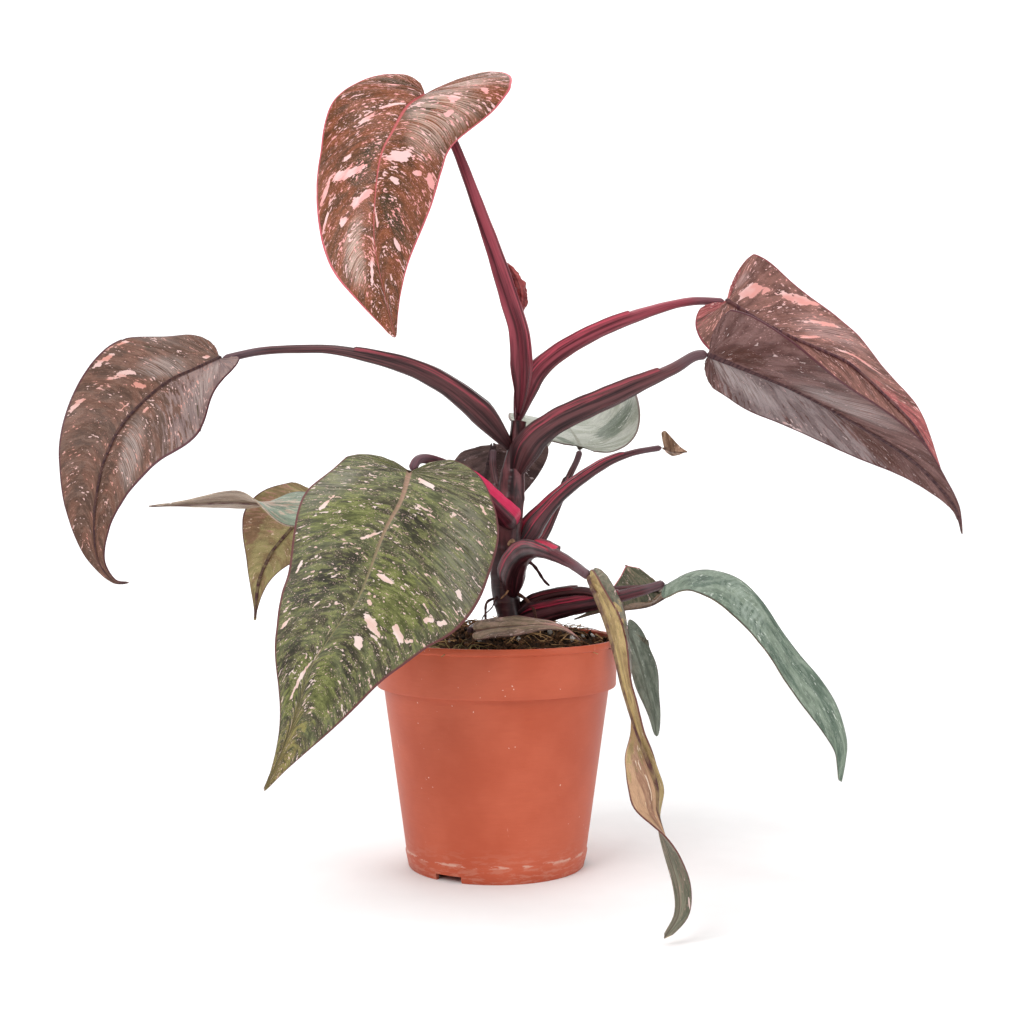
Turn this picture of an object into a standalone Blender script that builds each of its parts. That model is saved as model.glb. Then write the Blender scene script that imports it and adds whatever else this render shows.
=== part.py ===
"""A pink princess philodendron growing in a plastic nursery pot.

The pot's base is centred on the origin and stands on z = 0; -Y is the plant's front.
Every length below is in millimetres and is brought to metres when a mesh is made.

The pot and the soil are turned profiles. The stem and the leaf stalks are tubes along smooth
paths. Each leaf blade is one closed sheet laid along its midrib: rows follow the side veins
from the midrib to the margin, and the outline, the folds and the waves are formulas.
"""

import math

import bmesh
import bpy
import numpy as np
from mathutils import Vector
from mathutils.bvhtree import BVHTree

MM = 0.001
GAP = 0.3
GROWTH = 0.4

POT_RIM_RADIUS = 60.0
POT_HEIGHT = 111.0
POT_FOOT_RADIUS = 43.0
POT_BAND_HEIGHT = 23.5
POT_WALL = 1.6
POT_FOOT_HEIGHT = 3.6
POT_FLOOR = 2.0
POT_SIDES = 48
LIP_HEIGHT = 3.0
LIP_PROUD = 0.9
BAND_RADIUS = 58.5
WALL_TOP_RADIUS = 55.1
FOOT_RING_WIDTH = 2.0
STACKING_STEP_HEIGHT = 7.7
STACKING_STEP_PROUD = 0.5
NOTCH_WIDTH = 14.0
NOTCH_COUNT = 3
NOTCH_ANGLE = -121.0
NOTCH_REACH = 20.0
CENTRE_PAD_RADIUS = 7.0

SOIL_EDGE_HEIGHT = 107.0
SOIL_TOP_RADIUS = 57.1
SOIL_BAND_RADIUS = 56.5
SOIL_MOUND = 7.0
SOIL_BACK_RISE = 3.0
SOIL_RINGS = 6
SOIL_LUMP = 1.0

STALK_SIDES = 8
STALK_ROWS = 13
WING_ANGLE = 45
BLADE_THICKNESS = 0.9
MARGIN_THICKNESS = 0.7
KEEL_DEPTH = 1.3
BLADE_COLUMNS = (0.0, 0.07, 0.5, 1.0)
RIB_WIDTH = 1.5
FOLD_WIDTH = 3.0
BLADE_ROWS = 15
SMALL_BLADE_ROWS = 11

POT_COLOUR = (0.52, 0.10, 0.04)
SOIL_COLOUR = (0.03, 0.018, 0.011)
STEM_COLOUR = (0.06, 0.018, 0.022)
CRIMSON = (0.25, 0.012, 0.03)
MAROON = (0.09, 0.02, 0.028)
BROWN_PINK = (0.13, 0.05, 0.04)
GREY_BROWN = (0.11, 0.07, 0.07)
OLIVE = (0.16, 0.17, 0.07)
LEAF_GREEN = (0.07, 0.11, 0.04)
BLUE_GREEN = (0.06, 0.10, 0.07)
PALE_GREEN = (0.26, 0.33, 0.24)
DRY_BROWN = (0.13, 0.07, 0.03)

# Half of a leaf's flat outline, from the notch at the stalk round the rear lobe to the tip.
# Each row: where its side vein leaves the midrib, then how far along the margin is, both as
# shares of the blade's length, and how far across it is, as a share of the half width.
OUTLINE = (
    (0.00, -0.05, 0.16),
    (0.00, -0.08, 0.40),
    (0.00, -0.05, 0.70),
    (0.00, 0.05, 0.92),
    (0.04, 0.19, 1.00),
    (0.12, 0.34, 0.92),
    (0.24, 0.50, 0.72),
    (0.38, 0.65, 0.48),
    (0.56, 0.79, 0.25),
    (0.76, 0.91, 0.09),
    (1.00, 1.00, 0.00),
)
WIDEST = 0.19

STEM_PATH = [(9, 0, 78), (9, 0, 104), (7, 0, 120), (4, 0, 134), (4, 0, 148), (5, 0, 163),
             (7, 0, 178), (8, 0, 192), (10, 0, 206), (11, 0, 217)]
STEM_RADII = (7.5, 7.5, 7.2, 6.6, 6.4, 6.6, 7.0, 6.4, 4.6, 3.8)

AERIAL_ROOTS = {
    "side": ([(6, -3, 152), (17, -6, 147), (23, -7, 139), (26, -7, 136)], 1.0),
    "left": ([(-1, -3, 130), (-5, -5, 127), (-5, -6, 116), (-4, -6, 106)], 0.8),
    "low": ([(9, -5, 133), (15, -8, 129), (19, -9, 122), (20, -9, 106)], 1.0),
    "stub": ([(6, -5, 156), (8, -9, 158), (9, -11, 155), (8, -12, 152)], 1.2),
}


def smooth_path(points, count):
    """Return evenly spaced points along a smooth curve through the given points."""
    given = np.array(points, dtype=float)
    guide = np.vstack([2 * given[0] - given[1], given, 2 * given[-1] - given[-2]])
    dense = []
    for before, start, end, after in zip(guide, guide[1:], guide[2:], guide[3:]):
        for step in np.linspace(0, 1, 24, endpoint=False):
            dense.append(0.5 * (2 * start + (end - before) * step
                                + (2 * before - 5 * start + 4 * end - after) * step ** 2
                                + (3 * start - before - 3 * end + after) * step ** 3))
    dense.append(given[-1])
    dense = np.array(dense)
    steps = np.linalg.norm(np.diff(dense, axis=0), axis=1)
    travelled = np.concatenate([[0], np.cumsum(steps)])
    wanted = np.linspace(0, travelled[-1], count)
    return np.column_stack([np.interp(wanted, travelled, dense[:, axis])
                            for axis in range(given.shape[1])])


def unit(vectors):
    """Scale each vector to length one."""
    return vectors / np.linalg.norm(vectors, axis=-1, keepdims=True)


def spread(values, shares):
    """Read a short list of evenly spaced values at the given shares of the way along."""
    values = np.array(values, dtype=float)
    stations = np.linspace(0, 1, len(values))
    if values.ndim == 1:
        return np.interp(shares, stations, values)
    return np.column_stack([np.interp(shares, stations, values[:, axis])
                            for axis in range(values.shape[1])])


def material(name, colour, roughness=0.5):
    """Return a plain Principled material."""
    made = bpy.data.materials.get(name) or bpy.data.materials.new(name)
    made.use_nodes = True
    shader = made.node_tree.nodes["Principled BSDF"]
    shader.inputs["Base Color"].default_value = (*colour, 1.0)
    shader.inputs["Roughness"].default_value = roughness
    shader.inputs["Metallic"].default_value = 0.0
    return made


def mesh_object(name, points, faces, colour, roughness=0.5):
    """Make an object from points in millimetres."""
    mesh = bpy.data.meshes.new(name)
    mesh.from_pydata([tuple(point * MM) for point in np.array(points)], [], faces)
    mesh.update()
    mesh.materials.append(material(name, colour, roughness))
    made = bpy.data.objects.new(name, mesh)
    bpy.context.scene.collection.objects.link(made)
    return made


def smooth(made, angle=50):
    """Shade an object smooth, with its sharp edges kept."""
    made.data.shade_smooth()
    made.data.set_sharp_from_angle(angle=math.radians(angle))


def grown(made):
    """Return a copy of an object, grown on every side by the gap that pieces keep."""
    mesh = made.data.copy()
    normals = [vertex.normal.copy() for vertex in mesh.vertices]
    for vertex, normal in zip(mesh.vertices, normals):
        vertex.co += normal * GROWTH * MM
    cutter = bpy.data.objects.new(made.name + "_cutter", mesh)
    bpy.context.scene.collection.objects.link(cutter)
    cutter.hide_render = True
    cutter.display_type = "WIRE"
    return cutter


def surface_tree(made):
    """Return a search tree of an object's faces, whose points are in world places."""
    points = [vertex.co for vertex in made.data.vertices]
    return BVHTree.FromPolygons(points, [face.vertices for face in made.data.polygons])


def clear_of(made, others):
    """Cut away what comes closer to other pieces than the gap that pieces keep."""
    tree = surface_tree(made)
    cutters = [grown(other) for other in others]
    meeting = [cutter for cutter in cutters if tree.overlap(surface_tree(cutter))]
    for cutter in cutters:
        if cutter not in meeting:
            bpy.data.objects.remove(cutter)
    if meeting:
        combine(made, meeting, "DIFFERENCE")
        smooth(made)


def is_closed(mesh):
    """Say whether a mesh has faces and each of its edges lies between two of them."""
    uses = {}
    for face in mesh.polygons:
        for edge in face.edge_keys:
            uses[edge] = uses.get(edge, 0) + 1
    return bool(uses) and all(count == 2 for count in uses.values())


def combine(made, others, operation):
    """Cut or join other objects into one, and remove them."""
    for solver in ("EXACT", "MANIFOLD"):
        made.modifiers.clear()
        for other in others:
            step = made.modifiers.new(other.name, "BOOLEAN")
            step.operation = operation
            step.solver = solver
            step.object = other
        graph = bpy.context.evaluated_depsgraph_get()
        shaped = bpy.data.meshes.new_from_object(made.evaluated_get(graph))
        if is_closed(shaped):
            break
    made.modifiers.clear()
    made.data = shaped
    for other in others:
        bpy.data.objects.remove(other)
    keep_largest_body(made)


def keep_largest_body(made):
    """Drop the scraps that a cut leaves beside the main body."""
    work = bmesh.new()
    work.from_mesh(made.data)
    bmesh.ops.remove_doubles(work, verts=work.verts, dist=0.00001)
    waiting = set(work.verts)
    bodies = []
    while waiting:
        body = {waiting.pop()}
        edge_of_body = list(body)
        while edge_of_body:
            vertex = edge_of_body.pop()
            for edge in vertex.link_edges:
                other = edge.other_vert(vertex)
                if other in waiting:
                    waiting.remove(other)
                    body.add(other)
                    edge_of_body.append(other)
        bodies.append(body)
    largest = max(bodies, key=len)
    for body in bodies:
        if body is not largest:
            bmesh.ops.delete(work, geom=list(body), context="VERTS")
    work.to_mesh(made.data)
    work.free()


def turned(name, profile, sides, colour, roughness=0.5):
    """Turn a closed (radius, height) profile round the Z axis."""
    work = bmesh.new()
    ring = [work.verts.new(Vector((radius, 0, height)) * MM) for radius, height in profile]
    edges = [work.edges.new((start, end)) for start, end in zip(ring, ring[1:])]
    bmesh.ops.spin(work, geom=ring + edges, cent=(0, 0, 0), axis=(0, 0, 1),
                   angle=2 * math.pi, steps=sides, use_merge=True)
    bmesh.ops.remove_doubles(work, verts=work.verts, dist=0.00001)
    bmesh.ops.recalc_face_normals(work, faces=work.faces)
    mesh = bpy.data.meshes.new(name)
    work.to_mesh(mesh)
    work.free()
    mesh.materials.append(material(name, colour, roughness))
    made = bpy.data.objects.new(name, mesh)
    bpy.context.scene.collection.objects.link(made)
    return made


def wall_radius(height):
    """Return the pot's outer wall radius below its band."""
    top = POT_HEIGHT - POT_BAND_HEIGHT
    return POT_FOOT_RADIUS + (WALL_TOP_RADIUS - POT_FOOT_RADIUS) * height / top


def make_pot():
    """Turn the pot, and cut the drainage notches in its foot ring."""
    band_bottom = POT_HEIGHT - POT_BAND_HEIGHT
    lip_bottom = POT_HEIGHT - LIP_HEIGHT
    band_top_radius = POT_RIM_RADIUS - LIP_PROUD
    floor_top = POT_FOOT_HEIGHT + POT_FLOOR
    step = STACKING_STEP_HEIGHT
    profile = [
        (0, 0),
        (CENTRE_PAD_RADIUS, 0),
        (CENTRE_PAD_RADIUS + 1, POT_FOOT_HEIGHT),
        (POT_FOOT_RADIUS - FOOT_RING_WIDTH - 0.4, POT_FOOT_HEIGHT),
        (POT_FOOT_RADIUS - FOOT_RING_WIDTH, 0),
        (POT_FOOT_RADIUS, 0),
        (wall_radius(step) + STACKING_STEP_PROUD, step),
        (wall_radius(step + 0.8), step + 0.8),
        (wall_radius(band_bottom), band_bottom),
        (BAND_RADIUS, band_bottom + 0.6),
        (band_top_radius, lip_bottom),
        (POT_RIM_RADIUS, lip_bottom + 0.7),
        (POT_RIM_RADIUS, POT_HEIGHT - 0.7),
        (POT_RIM_RADIUS - 0.7, POT_HEIGHT),
        (band_top_radius - POT_WALL, POT_HEIGHT - 0.4),
        (BAND_RADIUS - POT_WALL, band_bottom + 1.5),
        (wall_radius(band_bottom) - POT_WALL, band_bottom - 1.5),
        (wall_radius(floor_top) - POT_WALL, floor_top),
        (0, floor_top),
    ]
    pot = turned("pot", profile, POT_SIDES, POT_COLOUR, 0.42)
    notches = []
    for number in range(NOTCH_COUNT):
        bpy.ops.mesh.primitive_cube_add(size=1)
        notch = bpy.context.object
        notch.name = "notch_cutter_%d" % number
        notch.scale = (NOTCH_REACH * MM, NOTCH_WIDTH * MM, 2 * (POT_FOOT_HEIGHT - 0.4) * MM)
        angle = math.radians(NOTCH_ANGLE + number * 360 / NOTCH_COUNT)
        notch.rotation_euler.z = angle
        reach = POT_FOOT_RADIUS * MM
        notch.location = (reach * math.cos(angle), reach * math.sin(angle), 0)
        notch.hide_render = True
        notch.display_type = "WIRE"
        notches.append(notch)
    bpy.context.view_layer.update()
    combine(pot, notches, "DIFFERENCE")
    smooth(pot, 35)
    return pot


def soil_height(radius, angle, edge):
    """Return the height of the soil's top, mounded round the stem and towards the back."""
    share = radius / edge
    mound = SOIL_MOUND * (1 - share ** 2) + SOIL_BACK_RISE * share * math.sin(angle)
    lumps = (math.sin(3 * angle + 1.0) * math.sin(radius / 5)
             + 0.7 * math.sin(7 * angle + radius / 4)
             + 0.5 * math.cos(11 * angle - radius / 3))
    return SOIL_EDGE_HEIGHT + mound + SOIL_LUMP * lumps * min(1, 2 * share) * (1.1 - share)


def make_soil():
    """Fill the pot with soil that stands clear of its wall."""
    floor_top = POT_FOOT_HEIGHT + POT_FLOOR
    band_bottom = POT_HEIGHT - POT_BAND_HEIGHT
    inner = POT_WALL + GAP
    sides = [(wall_radius(floor_top) - inner, floor_top + GAP),
             (wall_radius(band_bottom) - inner, band_bottom - 1.1),
             (SOIL_BAND_RADIUS, band_bottom + 2.1)]
    edge = SOIL_TOP_RADIUS
    angles = [2 * math.pi * step / POT_SIDES for step in range(POT_SIDES)]
    rings = [(radius, [height] * POT_SIDES) for radius, height in sides]
    for step in range(SOIL_RINGS):
        radius = edge * (1 - step / SOIL_RINGS)
        rings.append((radius, [soil_height(radius, angle, edge) for angle in angles]))
    points = [(0, 0, floor_top + GAP), (0, 0, soil_height(0, 0, edge))]
    for radius, heights in rings:
        points += [(radius * math.cos(angle), radius * math.sin(angle), height)
                   for angle, height in zip(angles, heights)]
    faces = []
    last = 2 + (len(rings) - 1) * POT_SIDES
    for step in range(POT_SIDES):
        after = (step + 1) % POT_SIDES
        faces.append((0, 2 + after, 2 + step))
        faces.append((1, last + step, last + after))
        for ring in range(len(rings) - 1):
            low = 2 + ring * POT_SIDES
            high = low + POT_SIDES
            faces.append((low + step, low + after, high + after))
            faces.append((low + step, high + after, high + step))
    return mesh_object("soil", points, faces, SOIL_COLOUR, 0.95)


def stalk_frames(path, crown):
    """Return the tangents of a path and the directions of its upper side and its flank."""
    tangents = unit(np.gradient(path, axis=0))
    crowns = np.zeros_like(path)
    carried = np.array(crown, dtype=float)
    for row in range(len(path) - 1, -1, -1):
        carried = carried - carried.dot(tangents[row]) * tangents[row]
        carried = carried / np.linalg.norm(carried)
        crowns[row] = carried
    return tangents, crowns, np.cross(tangents, crowns)


def tube(name, path, outline, colour, crown=(0, 0, 1)):
    """Skin closed sections round a path; outline(row, angle) gives each radius."""
    sides = STALK_SIDES
    tangents, crowns, flanks = stalk_frames(path, crown)
    points = [path[0]]
    for row, centre in enumerate(path):
        for side in range(sides):
            angle = 2 * math.pi * side / sides
            radius = outline(row, angle)
            points.append(centre + radius * (math.cos(angle) * crowns[row]
                                             + math.sin(angle) * flanks[row]))
    points.append(path[-1])
    faces = []
    end = len(points) - 1
    last = end - sides
    for side in range(sides):
        after = (side + 1) % sides
        faces.append((0, 1 + after, 1 + side))
        faces.append((end, last + side, last + after))
        for row in range(len(path) - 1):
            low = 1 + row * sides
            high = low + sides
            faces.append((low + side, low + after, high + after))
            faces.append((low + side, high + after, high + side))
    made = mesh_object(name, points, faces, colour, 0.4)
    smooth(made)
    return made


def round_tube(name, points, radii, rows, colour):
    """Make a plain round tube whose radius follows a short list."""
    path = smooth_path(points, rows)
    widths = spread(radii, np.linspace(0, 1, rows))
    return tube(name, path, lambda row, angle: widths[row], colour, crown=(0.3, -1, 0.2))


def stalk(name, plan):
    """Make a leaf stalk: a winged, grooved sheath up to its end, then a thin round neck."""
    shares = np.linspace(0, 1, STALK_ROWS)
    sheath_end = plan["sheath"]
    if sheath_end < 1:
        nearest = np.argmin(abs(shares - sheath_end))
        shares[nearest] = sheath_end
        shares = np.insert(shares, nearest + 1, sheath_end + 0.02)
    dense = smooth_path(plan["stalk"], 200)
    places = np.linspace(0, 1, 200)
    path = np.column_stack([np.interp(shares, places, dense[:, axis]) for axis in range(3)])
    radii = spread(plan["radii"], shares)
    winged = np.where(shares <= sheath_end, plan.get("wing", 0.5), 0.0)

    def outline(row, angle):
        turn = abs(math.degrees(math.atan2(math.sin(angle), math.cos(angle))))
        wing = winged[row] * math.exp(-((turn - WING_ANGLE) / 24) ** 2)
        groove = 0.5 * winged[row] * math.exp(-(turn / 20) ** 2)
        return radii[row] * (1 + wing - groove)

    return tube(name, path, outline, plan["stalk_colour"], plan.get("crown", (0, 0, 1)))


def blade_surface(plan, along, across, side):
    """Return the points and upward directions of a blade at flat places on one half.

    along runs from 0 at the stalk to 1 at the tip, and is negative in the rear lobes;
    across runs from 0 at the midrib to 1 at the half's full width.
    """
    along = np.asarray(along, dtype=float)
    across = np.asarray(across, dtype=float)
    inside = np.clip(along, 0, 1)
    dense = smooth_path(plan["midrib"], 200)
    places = np.linspace(0, 1, 200)
    directions = unit(np.gradient(dense, axis=0))
    length = np.linalg.norm(np.diff(dense, axis=0), axis=1).sum()
    spine = np.column_stack([np.interp(inside, places, dense[:, axis]) for axis in range(3)])
    ahead = unit(np.column_stack([np.interp(inside, places, directions[:, axis])
                                  for axis in range(3)]))
    spine = spine + (along - inside)[:, None] * length * ahead
    half = plan["left"] if side < 0 else plan["right"]
    chord = spread(half["reach"], inside)
    width = np.linalg.norm(chord, axis=1)
    out = chord / width[:, None]
    up = unit(side * np.cross(ahead, out))
    arc = np.radians(spread(half["curl"], inside)) + 0.001
    turn = arc * (across - 0.5)
    sideways = width * (np.sin(turn) + np.sin(arc / 2)) / (2 * np.sin(arc / 2))
    rise = width * (np.cos(arc / 2) - np.cos(turn)) / (2 * np.sin(arc / 2))
    height, count, phase = plan.get("waves", (1.0, 2.5, 0.0))
    rise = rise + height * across ** 2 * np.sin(2 * np.pi * (count * along + phase + 0.2 * side))
    points = spine + sideways[:, None] * out + rise[:, None] * up
    normals = np.cos(turn)[:, None] * up - np.sin(turn)[:, None] * out
    return points, normals


def margin(plan, row, side):
    """Return how far along and across one side's margin is on a row of the outline."""
    start, along, across = row
    if along < 0:
        along *= plan["left" if side < 0 else "right"]["lobe"]
    if along > WIDEST:
        across = max(across, 0) ** plan.get("slim", 1.0)
        along = start + (along - start) * plan.get("lean", 1.0)
    return along, across


def blade(name, plan):
    """Make one leaf blade as a closed sheet with a keel under its midrib."""
    row_count = plan.get("rows", BLADE_ROWS)
    outline = smooth_path(OUTLINE, row_count - 1)
    outline = np.insert(outline, -1, (outline[-1] + outline[-2]) / 2, axis=0)
    starts = np.clip(outline[:, 0], 0, 1)
    starts[starts < 0.012] = 0.0
    fan = int(np.count_nonzero(starts == 0.0))
    rows = row_count - 1
    points = []
    numbers = {}

    def add(key, place, normal, thickness, keel):
        numbers[key + (1,)] = len(points)
        points.append(place + normal * thickness / 2)
        numbers[key + (-1,)] = len(points)
        points.append(place - normal * (thickness / 2 + keel))

    spines = []
    ridges = []
    for start in starts:
        place, right_up = blade_surface(plan, [start], [0.0], 1)
        place, left_up = blade_surface(plan, [start], [0.0], -1)
        spines.append(place[0])
        ridges.append((right_up[0] + left_up[0]) / 2)
    for row in range(fan - 1, rows + 1):
        keel = plan.get("keel", KEEL_DEPTH) * (1 - starts[row]) ** 0.7
        fold = max(np.linalg.norm(ridges[row]), 0.5)
        add(("spine", row), spines[row], unit(ridges[row]) / fold, BLADE_THICKNESS, keel)
    for side in (-1, 1):
        for row in range(rows):
            end, full = margin(plan, outline[row], side)
            edge, edge_up = blade_surface(plan, [end], [full], side)
            width = np.linalg.norm(edge[0] - spines[row])
            shares = np.array(BLADE_COLUMNS[1:])
            shares[0] = np.clip(RIB_WIDTH / width, 0.06, 0.2)
            along = starts[row] + (end - starts[row]) * shares
            place, normal = blade_surface(plan, along, full * shares, side)
            own = np.clip(width * shares / FOLD_WIDTH, 0, 1)[:, None]
            normal = unit(own * normal + (1 - own) * unit(ridges[row]))
            for column, share in enumerate(shares, start=1):
                thick = BLADE_THICKNESS + (MARGIN_THICKNESS - BLADE_THICKNESS) * share
                add((side, row, column), place[column - 1], normal[column - 1], thick, 0.0)

    def corner(side, row, column, face):
        if column == 0 or row == rows:
            return numbers[("spine", max(row, fan - 1), face)]
        return numbers[(side, row, column, face)]

    faces = []

    def add_face(corners, turned_over):
        corners = list(dict.fromkeys(corners))
        if len(corners) == 3:
            faces.append(tuple(reversed(corners)) if turned_over else tuple(corners))

    last = len(BLADE_COLUMNS) - 1
    for side in (-1, 1):
        for row in range(rows):
            for column in range(last):
                for face in (1, -1):
                    near = corner(side, row, column, face)
                    far = corner(side, row, column + 1, face)
                    far_next = corner(side, row + 1, column + 1, face)
                    near_next = corner(side, row + 1, column, face)
                    over = side * face < 0
                    add_face((near, far, far_next), over)
                    add_face((near, far_next, near_next), over)
            top = corner(side, row, last, 1)
            bottom = corner(side, row, last, -1)
            top_next = corner(side, row + 1, last, 1)
            bottom_next = corner(side, row + 1, last, -1)
            add_face((top, bottom, bottom_next), side < 0)
            add_face((top, bottom_next, top_next), side < 0)
        for column in range(last):
            top = corner(side, 0, column, 1)
            bottom = corner(side, 0, column, -1)
            top_next = corner(side, 0, column + 1, 1)
            bottom_next = corner(side, 0, column + 1, -1)
            add_face((top, bottom, bottom_next), side > 0)
            add_face((top, bottom_next, top_next), side > 0)
    made = mesh_object(name, points, faces, plan["colour"], 0.4)
    work = bmesh.new()
    work.from_mesh(made.data)
    bmesh.ops.recalc_face_normals(work, faces=work.faces)
    work.to_mesh(made.data)
    work.free()
    smooth(made)
    return made


def half(reach, curl=(0, 0), lobe=1.0):
    """Describe one half of a blade, with each list running from base to tip.

    reach is the way from the midrib to where the half's full width would end; curl is how many
    degrees the sheet turns up on that way; lobe is the size of the rear lobe.
    """
    return {"reach": reach, "curl": curl, "lobe": lobe}


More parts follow.
